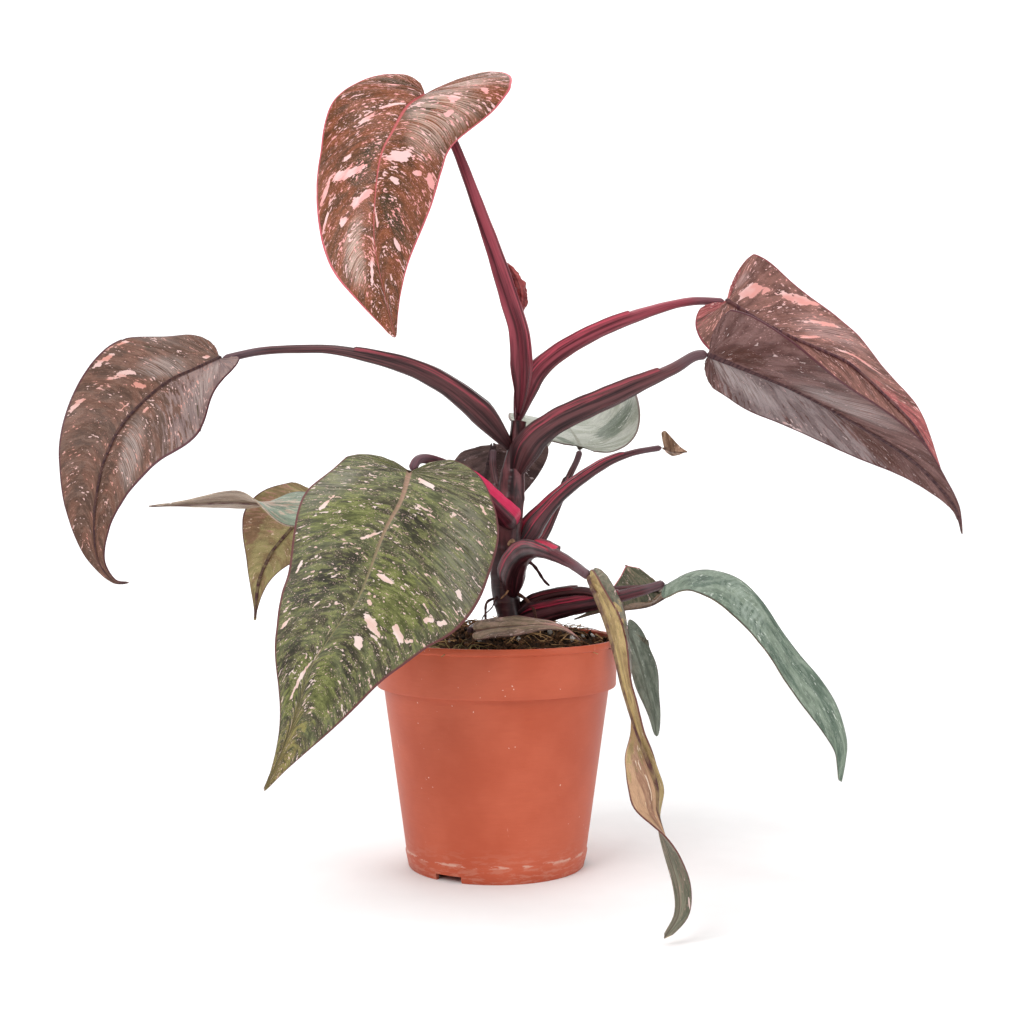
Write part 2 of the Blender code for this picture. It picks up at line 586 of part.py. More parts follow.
# Each leaf: its stalk's path, thickness and sheath, then its midrib from the stalk to the tip
# and its two halves, left and right as seen from above with the tip hanging down.
LEAVES = {
    "top": dict(
        stalk=[(11, 0, 219), (13, -3, 236), (12, -7, 258), (7, -10, 275), (0, -11, 296),
               (-8, -11, 318), (-19, -11, 347), (-27, -12, 363), (-33, -16, 371)],
        radii=(3.8, 4.2, 4.0, 3.2, 2.4, 2.0), sheath=0.5, wing=0.35, crown=(-0.6, -1, 0),
        stalk_colour=CRIMSON,
        midrib=[(-34, -19, 372), (-42, -28, 364), (-48, -36, 351), (-53, -43, 338),
                (-55, -50, 319), (-55, -56, 297), (-51, -60, 276), (-45, -62, 252)],
        left=half([(-41, -8, 3), (-35, 20, -6), (-33, 15, -13), (-33, 5, -23), (-25, 5, -25)],
                  (-40, -30, -20)),
        right=half([(50, -4, 2), (44, 6, 2), (31, 12, 0), (30, 15, -2), (30, 18, -4),
                    (29, 18, -5), (25, 16, -6), (20, 15, -8), (15, 12, -10)],
                   (-30, -30, -20), lobe=1.5),
        slim=0.7, colour=BROWN_PINK),
    "left": dict(
        stalk=[(8, 0, 201), (1, -3, 210), (-10, -6, 222), (-27, -6, 235), (-47, -4, 244),
               (-77, 0, 251), (-97, 3, 252), (-117, 5, 251), (-136, 6, 247)],
        radii=(5.0, 5.0, 4.6, 3.4, 2.2, 2.0, 2.0), sheath=0.58, stalk_colour=MAROON,
        midrib=[(-137, 6, 247), (-148, 5, 242), (-161, 4, 236), (-173, 2, 226), (-184, 0, 213),
                (-191, -3, 197), (-194, -5, 182), (-195, -7, 168), (-193, -9, 150),
                (-185, -11, 139), (-177, -12, 138)],
        left=half([(3, -22, -16), (19, -18, -25), (23, -14, -21), (21, -13, -13),
                   (16, -10, -3), (2, -4, 8)], (30, 0, 0)),
        right=half([(-23, 18, 15), (-26, 5, 21), (-30, 8, 19), (-32, 5, 14), (-28, 3, 6),
                    (-4, 0, -8)], (30, 0, 0), lobe=0.4),
        slim=0.6, lean=0.8, colour=GREY_BROWN),
    "right_upper": dict(
        stalk=[(10, 2, 215), (17, 6, 236), (29, 8, 249), (51, 12, 262), (77, 16, 272),
               (97, 18, 277), (115, 20, 277)],
        radii=(4.4, 4.4, 4.0, 3.4, 2.2, 1.9), sheath=0.62, stalk_colour=CRIMSON,
        midrib=[(116, 20, 277), (133, 23, 267), (149, 25, 259), (166, 27, 252), (180, 28, 245),
                (199, 29, 228), (213, 29, 213), (224, 28, 191), (231, 27, 172)],
        left=half([(18, 18, 31), (13, 26, 25), (14, 28, 15), (12, 22, 19), (8, 15, 10)],
                  (20, 0, 0), lobe=0.25),
        right=half([(-17, -14, -26), (-12, -18, -22), (-12, -16, -22), (-12, -12, -18),
                    (-8, -6, -10)], (20, 0, 0), lobe=0.8),
        slim=0.8, colour=GREY_BROWN),
    "right_lower": dict(
        stalk=[(9, -1, 188), (17, -6, 205), (27, -8, 214), (38, -10, 220), (56, -12, 228),
               (69, -13, 234), (85, -14, 241), (95, -14, 247), (102, -14, 248)],
        radii=(5.8, 5.6, 5.4, 4.8, 3.0, 2.3), sheath=0.78, stalk_colour=MAROON,
        midrib=[(103, -14, 248), (121, -14, 241), (143, -13, 232), (164, -11, 221),
                (185, -8, 209), (202, -5, 198), (215, -2, 186), (225, 0, 174), (229, 2, 161)],
        left=half([(10, -16, 26), (7, -28, 11), (6, -28, 10), (10, -18, 13), (6, -10, 6)],
                  (30, 0, 0), lobe=0.25),
        right=half([(5, 20, -19), (-8, 22, -14), (-9, 18, -16), (-11, 14, -15), (-6, 8, -8)],
                   (0, 0, 0), lobe=0.3),
        slim=0.8, colour=GREY_BROWN),
    "front": dict(
        stalk=[(8, 0, 164), (5, -11, 169), (-2, -24, 177), (-14, -42, 189), (-26, -58, 196),
               (-34, -66, 197), (-37, -71, 192)],
        radii=(4.4, 4.4, 3.8, 2.4, 2.0), sheath=0.74, stalk_colour=CRIMSON,
        midrib=[(-38, -73, 191), (-41, -82, 179), (-48, -88, 165), (-58, -95, 138),
                (-66, -97, 127), (-72, -98, 118), (-79, -99, 106), (-87, -97, 81),
                (-99, -94, 54)],
        left=half([(-34, 12, 7), (-36, 8, 16), (-32, 8, 14), (-20, 5, 9), (-5, 0, 5)],
                  (-30, -20, 0), lobe=0.3),
        right=half([(42, 10, -15), (46, 10, -20), (47, 8, -14), (46, 5, -14), (30, 5, -14)],
                   (-30, -20, 0)),
        slim=0.8, colour=LEAF_GREEN),
    "left_back": dict(
        stalk=[(3, 2, 146), (-14, 10, 163), (-33, 18, 175), (-59, 24, 182), (-80, 25, 184),
               (-89, 25, 179)],
        radii=(4.0, 3.4, 2.4, 1.8, 1.7), sheath=0.5, stalk_colour=MAROON,
        midrib=[(-90, 25, 178), (-97, 25, 172), (-103, 26, 164), (-110, 27, 156),
                (-115, 27, 149), (-121, 28, 135), (-123, 28, 116)],
        left=half([(11, -4, -15), (17, -4, -11), (15, -4, -2), (9, 0, -2)], lobe=0.3),
        right=half([(-17, 6, 10), (-24, 2, 12), (-17, 5, 8), (-11, 0, 2)], lobe=0.3),
        rows=SMALL_BLADE_ROWS, colour=OLIVE),
    "left_flat": dict(
        stalk=[(3, 0, 150), (-13, -5, 165), (-32, -6, 172), (-57, -4, 175), (-79, -3, 175)],
        radii=(3.8, 3.2, 2.2, 1.8, 1.6), sheath=0.5, stalk_colour=MAROON,
        midrib=[(-81, -3, 175), (-96, -5, 175), (-109, -7, 176), (-122, -9, 177),
                (-134, -10, 177), (-148, -10, 176), (-168, -10, 175)],
        left=half([(0, 16, 4), (0, 16, 5), (0, 16, -5), (0, 16, -5), (0, 10, -3)]),
        right=half([(0, -15, -8), (0, -14, -8), (0, -15, 7), (0, -15, 7), (0, -10, 4)]),
        rows=SMALL_BLADE_ROWS, colour=PALE_GREEN),
    "right_droop": dict(
        stalk=[(8, 0, 118), (31, -6, 125), (50, -10, 129), (69, -13, 134), (81, -16, 138)],
        radii=(5.2, 5.0, 4.2, 2.8, 2.0), sheath=0.7, stalk_colour=CRIMSON,
        midrib=[(82, -17, 138), (93, -20, 144), (103, -24, 145), (115, -29, 141), (125, -33, 131),
                (134, -36, 117), (142, -38, 106), (151, -41, 95), (158, -43, 83),
                (162, -45, 68), (161, -47, 58), (159, -48, 49)],
        left=half([(-2, -8, -7), (-11, -12, -12), (-14, -9, -9), (-24, -6, -18), (-20, -4, -10)],
                  lobe=0.2),
        right=half([(-2, 14, -6), (-4, 16, -8), (-4, 16, -8), (-4, 14, -6), (-4, 8, -4)],
                   lobe=0.2),
        slim=0.5, lean=0.6, colour=BLUE_GREEN),
    "front_hang": dict(
        stalk=[(7, 0, 128), (8, -6, 136), (9, -12, 144), (12, -20, 151), (17, -32, 155),
               (23, -48, 155), (33, -66, 151), (41, -86, 146)],
        radii=(5.0, 4.8, 4.4, 3.4, 2.4, 2.0), sheath=0.66, stalk_colour=MAROON,
        midrib=[(42, -89, 145), (48, -98, 129), (52, -105, 115), (55, -110, 101),
                (59, -115, 87), (63, -118, 75), (67, -121, 61), (67, -124, 51), (71, -128, 37),
                (75, -131, 23), (75, -134, 12), (69, -136, 3)],
        left=half([(4, -9, 0), (5, -10, 0), (4, -11, 0), (3, -11, 0), (4, -9, 0), (3, -6, 0),
                   (4, 0, 0), (5, 6, 0), (-2, 8, 0), (-4, 6, 0), (-4, 4, 0), (-4, 4, 0)],
                  lobe=0.4),
        right=half([(8, 9, 0), (9, 11, 0), (8, 11, 0), (6, 12, 0), (1, 13, 0), (-4, 11, 0),
                    (-14, 5, 0), (-16, -8, 0), (3, -11, 0), (11, -6, 0), (12, -4, 0),
                    (10, -4, 0)], lobe=0.4),
        slim=0.3, lean=0.3, rows=22, colour=OLIVE),
    "right_hang": dict(
        stalk=[(9, 1, 124), (26, -2, 131), (43, -14, 134), (55, -22, 129), (61, -28, 120)],
        radii=(3.0, 2.6, 2.0, 1.6), sheath=0.5, stalk_colour=MAROON,
        midrib=[(62, -31, 118), (65, -34, 110), (68, -36, 100), (71, -37, 88), (74, -37, 76),
                (75, -37, 68)],
        left=half([(-5, 3, 0), (-6, 4, 0), (-5, 3, 0)]),
        right=half([(6, 4, 0), (8, 3, 0), (8, 2, -2), (6, 2, -2)]),
        slim=0.4, lean=0.6, rows=SMALL_BLADE_ROWS, colour=BLUE_GREEN),
    "back": dict(
        stalk=[(6, 2, 140), (22, 20, 157), (30, 32, 172), (36, 40, 187), (41, 44, 197),
               (43, 45, 203)],
        radii=(3.0, 2.6, 2.0, 1.7, 1.6), sheath=0.8, stalk_colour=MAROON,
        midrib=[(43, 46, 205), (41, 58, 210), (37, 78, 217), (33, 100, 219), (29, 122, 213),
                (26, 140, 202)],
        left=half([(33, -4, 14), (34, 0, 20), (26, 0, 6), (16, 0, 0)], (80, 100, 0, 0)),
        right=half([(-24, 6, 5), (-34, 0, 6), (-26, 0, 2), (-14, 0, 0)], lobe=0.3),
        colour=PALE_GREEN),
    "back_left": dict(
        stalk=[(6, 2, 158), (4, 12, 172), (0, 22, 184), (-2, 30, 195), (-2, 34, 203)],
        radii=(3.4, 2.8, 2.0, 1.7), sheath=0.6, stalk_colour=MAROON,
        midrib=[(-2, 36, 205), (-6, 40, 190), (-11, 43, 173), (-15, 44, 155), (-20, 44, 136)],
        left=half([(34, -2, 1), (20, -2, -6), (9, 0, -8), (5, 0, -4)], lobe=0.2),
        right=half([(-20, 6, -4), (-24, 4, -6), (-18, 2, -6), (-10, 0, -4)], lobe=0.2),
        rows=SMALL_BLADE_ROWS, colour=GREY_BROWN),
    "right_tuck": dict(
        stalk=[(9, 1, 118), (25, 6, 127), (45, 6, 132), (66, 5, 134), (79, 5, 134),
               (84, 4, 132)],
        radii=(3.0, 2.6, 2.0, 1.6, 1.6), sheath=0.5, stalk_colour=MAROON,
        midrib=[(84, 4, 131), (75, 4, 126), (63, 4, 124), (52, 4, 123), (38, 4, 119)],
        left=half([(-16, 10, 15), (-10, 12, 19), (-8, 10, 16), (0, 6, 10)], lobe=0.2),
        right=half([(0, -8, 3), (0, -7, 3), (0, -6, 2), (0, -5, 0)], lobe=0.4),
        lean=0.5, keel=0.5, rows=SMALL_BLADE_ROWS, colour=OLIVE),
    "rim": dict(
        stalk=[(7, -2, 117), (0, -16, 119), (-9, -30, 119), (-12, -42, 118)],
        radii=(2.6, 2.0, 1.6, 1.5), sheath=0.4, stalk_colour=MAROON,
        midrib=[(-9, -46, 118), (2, -48, 120), (14, -49, 121), (26, -49, 121), (34, -49, 118),
                (39, -49, 114)],
        left=half([(0, -6, -4), (0, -7, -4), (0, -5, -4)], lobe=0.4),
        right=half([(0, 6, 4), (0, 7, 4), (0, 5, 3)], lobe=0.4),
        rows=SMALL_BLADE_ROWS, waves=(0.5, 2.5, 0), colour=GREY_BROWN),
    "withered": dict(
        stalk=[(8, 4, 151), (15, 6, 159), (21, 8, 168), (33, 12, 181), (53, 20, 195),
               (68, 25, 201), (84, 30, 204)],
        radii=(4.6, 4.6, 3.4, 2.8, 2.4, 1.6, 1.5), sheath=0.78, stalk_colour=MAROON,
        midrib=[(85, 30, 204), (91, 31, 202), (97, 31, 202)],
        left=half([(-2, -3, 9), (-2, -3, 9)], (60, 60), lobe=0.3),
        right=half([(2, 6, -3), (2, 5, -2)], lobe=0.3), keel=0.3,
        rows=SMALL_BLADE_ROWS, waves=(0.3, 2.0, 0), colour=DRY_BROWN),
}


def make_stem():
    """Make the main stem, with its aerial roots grown out of it."""
    stem = round_tube("stem", STEM_PATH, STEM_RADII, 20, STEM_COLOUR)
    roots = [round_tube("root_" + name, points, (radius, radius, 0.7 * radius), 8, STEM_COLOUR)
             for name, (points, radius) in AERIAL_ROOTS.items()]
    combine(stem, roots, "UNION")
    smooth(stem)
    return stem


def make_new_leaf():
    """Make the furled new leaf that stands behind the highest stalk."""
    path = smooth_path([(10, -3, 262), (11, -3, 268), (12, -4, 277), (11, -5, 286), (8, -6, 294),
                        (4, -7, 299)], 16)
    radii = spread((1.0, 2.0, 3.2, 3.0, 1.8, 0.6), np.linspace(0, 1, 16))

    def outline(row, angle):
        crinkle = 1 + 0.25 * math.sin(2.4 * row + 3 * angle) + 0.15 * math.cos(5 * row)
        return radii[row] * crinkle

    return tube("new_leaf", path, outline, CRIMSON, crown=(0, -1, 0))


def main():
    for existing in list(bpy.data.objects):
        bpy.data.objects.remove(existing)
    make_pot()
    soil = make_soil()
    stem = make_stem()
    clear_of(soil, [stem])
    kept = [soil, stem]
    for name, plan in LEAVES.items():
        leaf = blade("blade_" + name, plan)
        made = stalk("stalk_" + name, plan)
        clear_of(made, kept + [leaf])
        kept.append(made)
    clear_of(make_new_leaf(), kept)


main()
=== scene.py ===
# %% [markdown]
# # A pink princess philodendron in its nursery pot
#
# The solids of this plant are already made: a pot, soil, a stem, and a stalk and a blade for each
# leaf. They are plain and faceted, because a physics engine needs closed bodies with few faces.
# This lesson dresses them. Each blade is made again as a fine sheet on the same midrib, each stalk
# as a smooth grooved tube, the soil gets its crumbs and fibres, and every piece gets its finish.
# All lengths in the tables are millimetres, because that is how one reads a ruler; they are
# brought to metres where a mesh is made.

# %% The solids
import math
import bpy
import numpy as np
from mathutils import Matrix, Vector, noise


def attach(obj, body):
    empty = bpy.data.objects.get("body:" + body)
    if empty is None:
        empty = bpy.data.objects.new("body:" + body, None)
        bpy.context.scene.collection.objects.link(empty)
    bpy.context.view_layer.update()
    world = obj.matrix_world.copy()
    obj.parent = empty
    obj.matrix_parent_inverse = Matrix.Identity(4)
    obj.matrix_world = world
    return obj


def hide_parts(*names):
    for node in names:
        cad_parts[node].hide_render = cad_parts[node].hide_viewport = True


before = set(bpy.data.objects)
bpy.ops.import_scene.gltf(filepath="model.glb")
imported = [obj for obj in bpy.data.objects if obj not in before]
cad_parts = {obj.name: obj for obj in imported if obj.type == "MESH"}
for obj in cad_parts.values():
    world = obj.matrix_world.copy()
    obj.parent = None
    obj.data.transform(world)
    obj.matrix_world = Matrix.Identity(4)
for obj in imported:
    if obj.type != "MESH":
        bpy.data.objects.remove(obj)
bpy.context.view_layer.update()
MM = 0.001
bpy.ops.object.select_all(action="DESELECT")

# %% [markdown]
# ## The camera
#
# The photo was taken level, a little above the soil, from about three quarters of a metre. A
# camera that looks straight ahead keeps the pot's sides upright. To bring the picture down to the
# pot it could be tilted, but a small lens shift does it without making the uprights lean.

# %% The camera
EYE = (0.0076, -0.77, 0.19)
PICTURE_SIDE = 1024
FOCAL_PIXELS = 1571
HORIZON_ROW = 475
bpy.ops.object.camera_add(location=EYE, rotation=(math.radians(90), 0, 0))
camera = bpy.context.object
camera.name = "photo_camera"
camera.data.sensor_width = 36
camera.data.lens = camera.data.sensor_width * FOCAL_PIXELS / PICTURE_SIDE
camera.data.shift_y = HORIZON_ROW / PICTURE_SIDE - 0.5
bpy.context.scene.camera = camera
bpy.context.scene.view_settings.view_transform = "Standard"
print("lens", round(camera.data.lens, 1), "mm")

# %% [markdown]
# ## Floor and backdrop
#
# A studio sweep is one sheet of paper that lies on the table and bends up behind the object, so
# no corner shows. It starts as a plane; the back edge is extruded upwards and the fold is
# bevelled round with many segments.

# %% The sweep
def choose(piece):
    """Select one object alone and make it the active one."""
    bpy.ops.object.select_all(action="DESELECT")
    piece.select_set(True)
    bpy.context.view_layer.objects.active = piece


def mode(name):
    """Go into edit mode or back into object mode."""
    bpy.ops.object.mode_set(mode=name)


SWEEP_SIDE = 6
SWEEP_HEIGHT = 4
FOLD_RADIUS = 1.2
FOLD_SEGMENTS = 24
NEAR = 0.1
bpy.ops.mesh.primitive_plane_add(size=SWEEP_SIDE, location=(0, 0, 0))
sweep = bpy.context.object
sweep.name = "sweep"
for edge in sweep.data.edges:
    edge.select = all(sweep.data.vertices[v].co.y > 0 for v in edge.vertices)
for vertex in sweep.data.vertices:
    vertex.select = vertex.co.y > 0
for face in sweep.data.polygons:
    face.select = False
mode("EDIT")
bpy.ops.mesh.select_mode(type="EDGE")
bpy.ops.mesh.extrude_region_move(TRANSFORM_OT_translate={"value": (0, 0, SWEEP_HEIGHT)})
mode("OBJECT")
for vertex in sweep.data.vertices:
    vertex.select = vertex.co.y > SWEEP_SIDE / 2 - NEAR and vertex.co.z < NEAR
for edge in sweep.data.edges:
    edge.select = all(sweep.data.vertices[v].select for v in edge.vertices)
mode("EDIT")
bpy.ops.mesh.bevel(offset=FOLD_RADIUS, segments=FOLD_SEGMENTS, profile=0.5)
bpy.ops.mesh.select_mode(type="VERT")
mode("OBJECT")
bpy.ops.object.shade_smooth()
print("sweep:", len(sweep.data.polygons), "faces")

# %% [markdown]
# ## Light
#
# The photo has the even light of a product studio: a large soft box to the upper left, a weaker
# one on the right, and white all round. Area lights give soft shadows and long, gentle
# reflections on the glossy leaves; the world fills in the rest, and a fourth box behind the plant
# keeps the paper white without lighting the leaves.

# %% The soft boxes
def soft_box(name, place, aim, size, power):
    """Add a square area light that looks at a point."""
    bpy.ops.object.light_add(type="AREA", location=place)
    lamp = bpy.context.object
    lamp.name = name
    lamp.data.size = size
    lamp.data.energy = power
    direction = np.array(aim) - np.array(place)
    across = math.hypot(direction[0], direction[1])
    lamp.rotation_euler = (math.atan2(across, -direction[2]), 0,
                           math.atan2(direction[1], direction[0]) - math.pi / 2)


MIDDLE = (0, 0, 0.2)
soft_box("key_box", (-0.9, -1.1, 1.3), MIDDLE, 1.1, 22)
soft_box("fill_box", (1.3, -0.8, 0.7), MIDDLE, 1.2, 8)
soft_box("top_box", (0.1, 0.3, 1.6), MIDDLE, 1.3, 14)
soft_box("backdrop_box", (0, 0.6, 1.9), (0, 3.0, 1.9), 2.0, 75)
world = bpy.data.worlds.new("studio_air")
world.use_nodes = True
sky = world.node_tree.nodes["Background"].inputs
sky["Color"].default_value = (1, 1, 1, 1)
sky["Strength"].default_value = 0.46
bpy.context.scene.world = world

# %% [markdown]
# ## Helpers for finishes
#
# Every finish here is a node tree, and most of them mix the same few things: noise at a scale, a
# threshold, and one colour over another. Small functions with plain names keep the trees short
# to write. `Painter` holds one material's tree and adds nodes to it. Every colour is given as a
# screen shows it, red, green and blue from 0 to 255.

# %% A material's painter
BLACK = (0, 0, 0)
WHITE = (255, 255, 255)


def light_of(tone):
    """Turn a screen's colour, 0 to 255, into the light that a shader reckons with."""
    return tuple(((value / 255 + 0.055) / 1.055) ** 2.4 if value > 10 else value / 3295 for value in tone)


class Painter:
    """One material and its node tree, with short ways to add what the finishes need."""

    def __init__(self, name):
        self.material = bpy.data.materials.new(name)
        self.material.use_nodes = True
        self.tree = self.material.node_tree
        self.shader = self.tree.nodes["Principled BSDF"]

    def add(self, kind, values=(), output=0, **settings):
        """Add a node, set or link its first sockets, and return one of its outputs."""
        made = self.tree.nodes.new("ShaderNode" + kind)
        for key, value in settings.items():
            setattr(made, key, value)
        for number, value in enumerate(values):
            self.feed(made.inputs[number], value)
        return made.outputs[output]

    def feed(self, socket, value):
        """Link a node's output to a socket, or set the socket to a plain value or a colour."""
        if isinstance(value, bpy.types.NodeSocket):
            self.tree.links.new(value, socket)
        else:
            socket.default_value = (*light_of(value), 1) if socket.type == "RGBA" else value

    def calc(self, operation, a, b=0.0):
        """Return the result of one sum."""
        return self.add("Math", (a, b), operation=operation)

    def times(self, a, b):
        """Multiply two values."""
        return self.calc("MULTIPLY", a, b)

    def plus(self, a, b):
        """Add two values."""
        return self.calc("ADD", a, b)

    def about_half(self, value, share):
        """Return how far a noise is from its middle, times a share."""
        return self.times(self.calc("SUBTRACT", value, 0.5), share)

    def mix(self, share, under, over):
        """Mix two colours."""
        made = self.tree.nodes.new("ShaderNodeMix")
        made.data_type = "RGBA"
        for number, value in ((0, share), (6, under), (7, over)):
            self.feed(made.inputs[number], value)
        return made.outputs[2]

    def lay(self, under, over, mask, share):
        """Lay a colour over another where a mask is, by a share."""
        return self.mix(self.times(mask, share), under, over)

    def step(self, value, low, high):
        """Rise smoothly from 0 to 1 between two values."""
        return self.add("MapRange", (value, low, high, 0.0, 1.0), interpolation_type="SMOOTHSTEP")

    def noise(self, place, scale, detail=3.0, roughness=0.55, shift=(0, 0, 0)):
        """Return the noise at a place; three scales stretch it, each along its own axis."""
        if isinstance(scale, tuple):
            place, scale = self.add("Mapping", (place, shift, (0, 0, 0), scale)), 1.0
        made = self.tree.nodes.new("ShaderNodeTexNoise")
        self.feed(made.inputs["Vector"], place)
        for name, value in (("Scale", scale), ("Detail", detail), ("Roughness", roughness)):
            made.inputs[name].default_value = value
        return made.outputs[0]

    def place(self):
        """Return the place on the object, in metres."""
        return self.add("TexCoord", output=3)

    def height(self):
        """Return the height on the object, in metres."""
        return self.add("SeparateXYZ", (self.place(),), output=2)

    def veins(self):
        """Return the place on the piece's UV map."""
        return self.add("TexCoord", output=2)

    def read(self, name):
        """Return what the piece's points keep under a name."""
        return self.add("Attribute", output=2, attribute_name=name)

    def finish(self, colour, roughness, height=None, depth=0.0003, specular=0.2):
        """Wire colour, roughness and bump into the shader."""
        self.feed(self.shader.inputs["Base Color"], colour)
        self.feed(self.shader.inputs["Roughness"], roughness)
        self.shader.inputs["Specular IOR Level"].default_value = specular
        if height is not None:
            made = self.tree.nodes.new("ShaderNodeBump")
            made.inputs["Distance"].default_value = depth
            self.feed(made.inputs["Height"], height)
            self.tree.links.new(made.outputs[0], self.shader.inputs["Normal"])
        return self.material


paper = Painter("sweep_paper")
grain = paper.noise(paper.place(), 60, 4)
white_paper = paper.mix(grain, (238.6, 238.6, 238.6), (243.45, 243.45, 243.45))
sweep.data.materials.append(paper.finish(white_paper, 0.9))
print("painter ready, sweep papered")

# %% [markdown]
# ## The pot
#
# A nursery pot is moulded in one shot: a rolled lip, a deep collar band that pots nest on, a
# tapering wall and a foot ring with notches that let water out. It is round, so half of its
# outline is enough: one vertex is extruded from point to point along the wall, outside and back
# inside, and then spun about the axis. A lathe made from the Screw modifier would do as well; the
# spin leaves a plain mesh that the notches can be cut from at once.

# %% The pot's wall
POT_PROFILE = [(0, 0), (7, 0), (8, 3.6), (40.6, 3.6), (41, 0), (42.6, 0), (43, 0.4), (44.5, 7.4),
               (44.3, 8.2), (44.2, 8.6), (55.1, 87.2), (55.6, 87.5), (58.2, 87.6), (58.5, 88.2),
               (59.0, 107.4), (59.9, 108.2), (60.0, 108.8), (60.0, 110.4), (59.7, 110.9),
               (59.2, 111.0), (58.0, 110.8), (57.5, 110.2), (56.9, 89.0), (53.5, 86.0),
               (42.2, 5.6), (0, 5.6)]
POT_SIDES = 160
bpy.ops.mesh.primitive_plane_add(size=0.01)
pot = bpy.context.object
pot.name = "nursery_pot"
mode("EDIT")
bpy.ops.mesh.select_all(action="SELECT")
bpy.ops.mesh.merge(type="CENTER")
for (radius, height), (next_radius, next_height) in zip(POT_PROFILE, POT_PROFILE[1:]):
    step = ((next_radius - radius) * MM, 0, (next_height - height) * MM)
    bpy.ops.mesh.extrude_region_move(TRANSFORM_OT_translate={"value": step})
bpy.ops.mesh.select_all(action="SELECT")
bpy.ops.mesh.spin(steps=POT_SIDES, angle=2 * math.pi, center=(0, 0, 0), axis=(0, 0, 1))
bpy.ops.mesh.select_all(action="SELECT")
bpy.ops.mesh.remove_doubles(threshold=0.00001)
bpy.ops.mesh.normals_make_consistent(inside=False)
mode("OBJECT")
print("pot wall:", len(pot.data.polygons), "faces")

# %% The drainage notches
NOTCHES = 3
FIRST_NOTCH = -121
FOOT_RADIUS = 0.043
NOTCH_BOX = (0.02, 0.014, 0.0064)


def apply(piece, kind, **settings):
    """Add a modifier, set it and apply it."""
    step = piece.modifiers.new(kind.title(), kind)
    for key, value in settings.items():
        setattr(step, key, value)
    choose(piece)
    bpy.ops.object.modifier_apply(modifier=step.name)


def join_plant(piece, slot, *nodes):
    """Let a finished piece ride on the plant in the place of its solids."""
    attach(piece, "root")
    if nodes:
        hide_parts(*nodes)


for number in range(NOTCHES):
    angle = math.radians(FIRST_NOTCH + 360 / NOTCHES * number)
    bpy.ops.mesh.primitive_cube_add(size=1, rotation=(0, 0, angle), location=(
        FOOT_RADIUS * math.cos(angle), FOOT_RADIUS * math.sin(angle), 0))
    notch = bpy.context.object
    notch.scale = NOTCH_BOX
    apply(pot, "BOOLEAN", operation="DIFFERENCE", solver="EXACT", object=notch)
    bpy.data.objects.remove(notch)
bpy.ops.object.shade_smooth_by_angle(angle=math.radians(35))
join_plant(pot, "pot", "pot")
print("pot:", len(pot.data.polygons), "faces after the notches")

# %% [markdown]
# The plastic is a terracotta orange, a little paler in soft random patches, with a faint
# grain from the mould, pale scuffs, lime specks, and a chalky line on the step above the foot,
# where wet pots stand in a tray. All of it reads the place on the object, so it stays put from
# every side.

# %% The pot's plastic
FOOT_STEP = 0.0085
plastic = Painter("terracotta_plastic")
place = plastic.place()
height = plastic.height()
cloud = plastic.noise(place, 22, 4)
colour = plastic.mix(plastic.step(cloud, 0.35, 0.7), (184, 84, 56), (198, 98, 70))
mould = plastic.noise(place, (160, 160, 900), 2)
colour = plastic.lay(colour, (160, 68, 46), mould, 0.22)
speck = plastic.step(plastic.noise(place, 420, 2), 0.735, 0.76)
sparse = plastic.step(plastic.noise(place, 45, 2), 0.52, 0.62)
colour = plastic.lay(colour, (228, 190, 172), speck, sparse)
scratch = plastic.step(plastic.noise(place, (150, 150, 22), 5, 0.7), 0.69, 0.72)
colour = plastic.lay(colour, (222, 160, 136), scratch, 0.35)
off_step = plastic.calc("ABSOLUTE", plastic.calc("SUBTRACT", height, FOOT_STEP))
broken = plastic.step(plastic.noise(place, (120, 120, 500), 5, 0.7), 0.47, 0.58)
chalk = plastic.times(plastic.step(off_step, 0.0011, 0.0), broken)
colour = plastic.lay(colour, (218, 186, 170), chalk, 0.6)
splashed = plastic.times(plastic.step(height, 0.02, 0.0), broken)
colour = plastic.lay(colour, (214, 170, 150), splashed, 0.25)
rough = plastic.plus(plastic.times(cloud, 0.2), 0.34)
relief = plastic.plus(mould, plastic.times(plastic.noise(place, 1500, 2), 0.4))
pot.data.materials.clear()
pot.data.materials.append(plastic.finish(colour, rough, relief, 0.00008, 0.25))
print("pot finished in", plastic.material.name)

# %% [markdown]
# ## Sheets and tubes from a flat grid
#
# Leaves and stalks have no flat faces to extrude, so both start from the grid primitive, whose
# flat x and y are used as two shares: across and along. A formula then says where each grid
# point goes, as a pattern cutter marks cloth. Sculpting by hand could do it too, but a formula
# keeps each leaf exactly on the path that its solid follows. Doubled points, such as a tube's
# seam or a leaf's tip, are merged afterwards.

# %% Curves through points
def bend(before, start, end, after, step):
    """Return the place between start and end on the smooth curve through four points."""
    return 0.5 * (2 * start + (end - before) * step
                  + (2 * before - 5 * start + 4 * end - after) * step ** 2
                  + (3 * start - before - 3 * end + after) * step ** 3)


def with_ends(points):
    """Return the points with one more before the first and after the last, straight on."""
    given = np.array(points, dtype=float)
    return np.vstack([2 * given[0] - given[1], given, 2 * given[-1] - given[-2]])


def smooth_path(points, count):
    """Return evenly spaced points along a smooth curve through the given points."""
    guide = with_ends(points)
    dense = [bend(*four, step) for four in zip(guide, guide[1:], guide[2:], guide[3:])
             for step in np.linspace(0, 1, 24, endpoint=False)]
    dense = np.array([*dense, guide[-2]])
    travelled = np.concatenate([[0], np.cumsum(np.linalg.norm(np.diff(dense, axis=0), axis=1))])
    wanted = np.linspace(0, travelled[-1], count)
    return columns(lambda axis: np.interp(wanted, travelled, dense[:, axis]), dense.shape[1])


def length_of(path):
    """Return the length of a chain of points."""
    return np.linalg.norm(np.diff(path, axis=0), axis=1).sum()


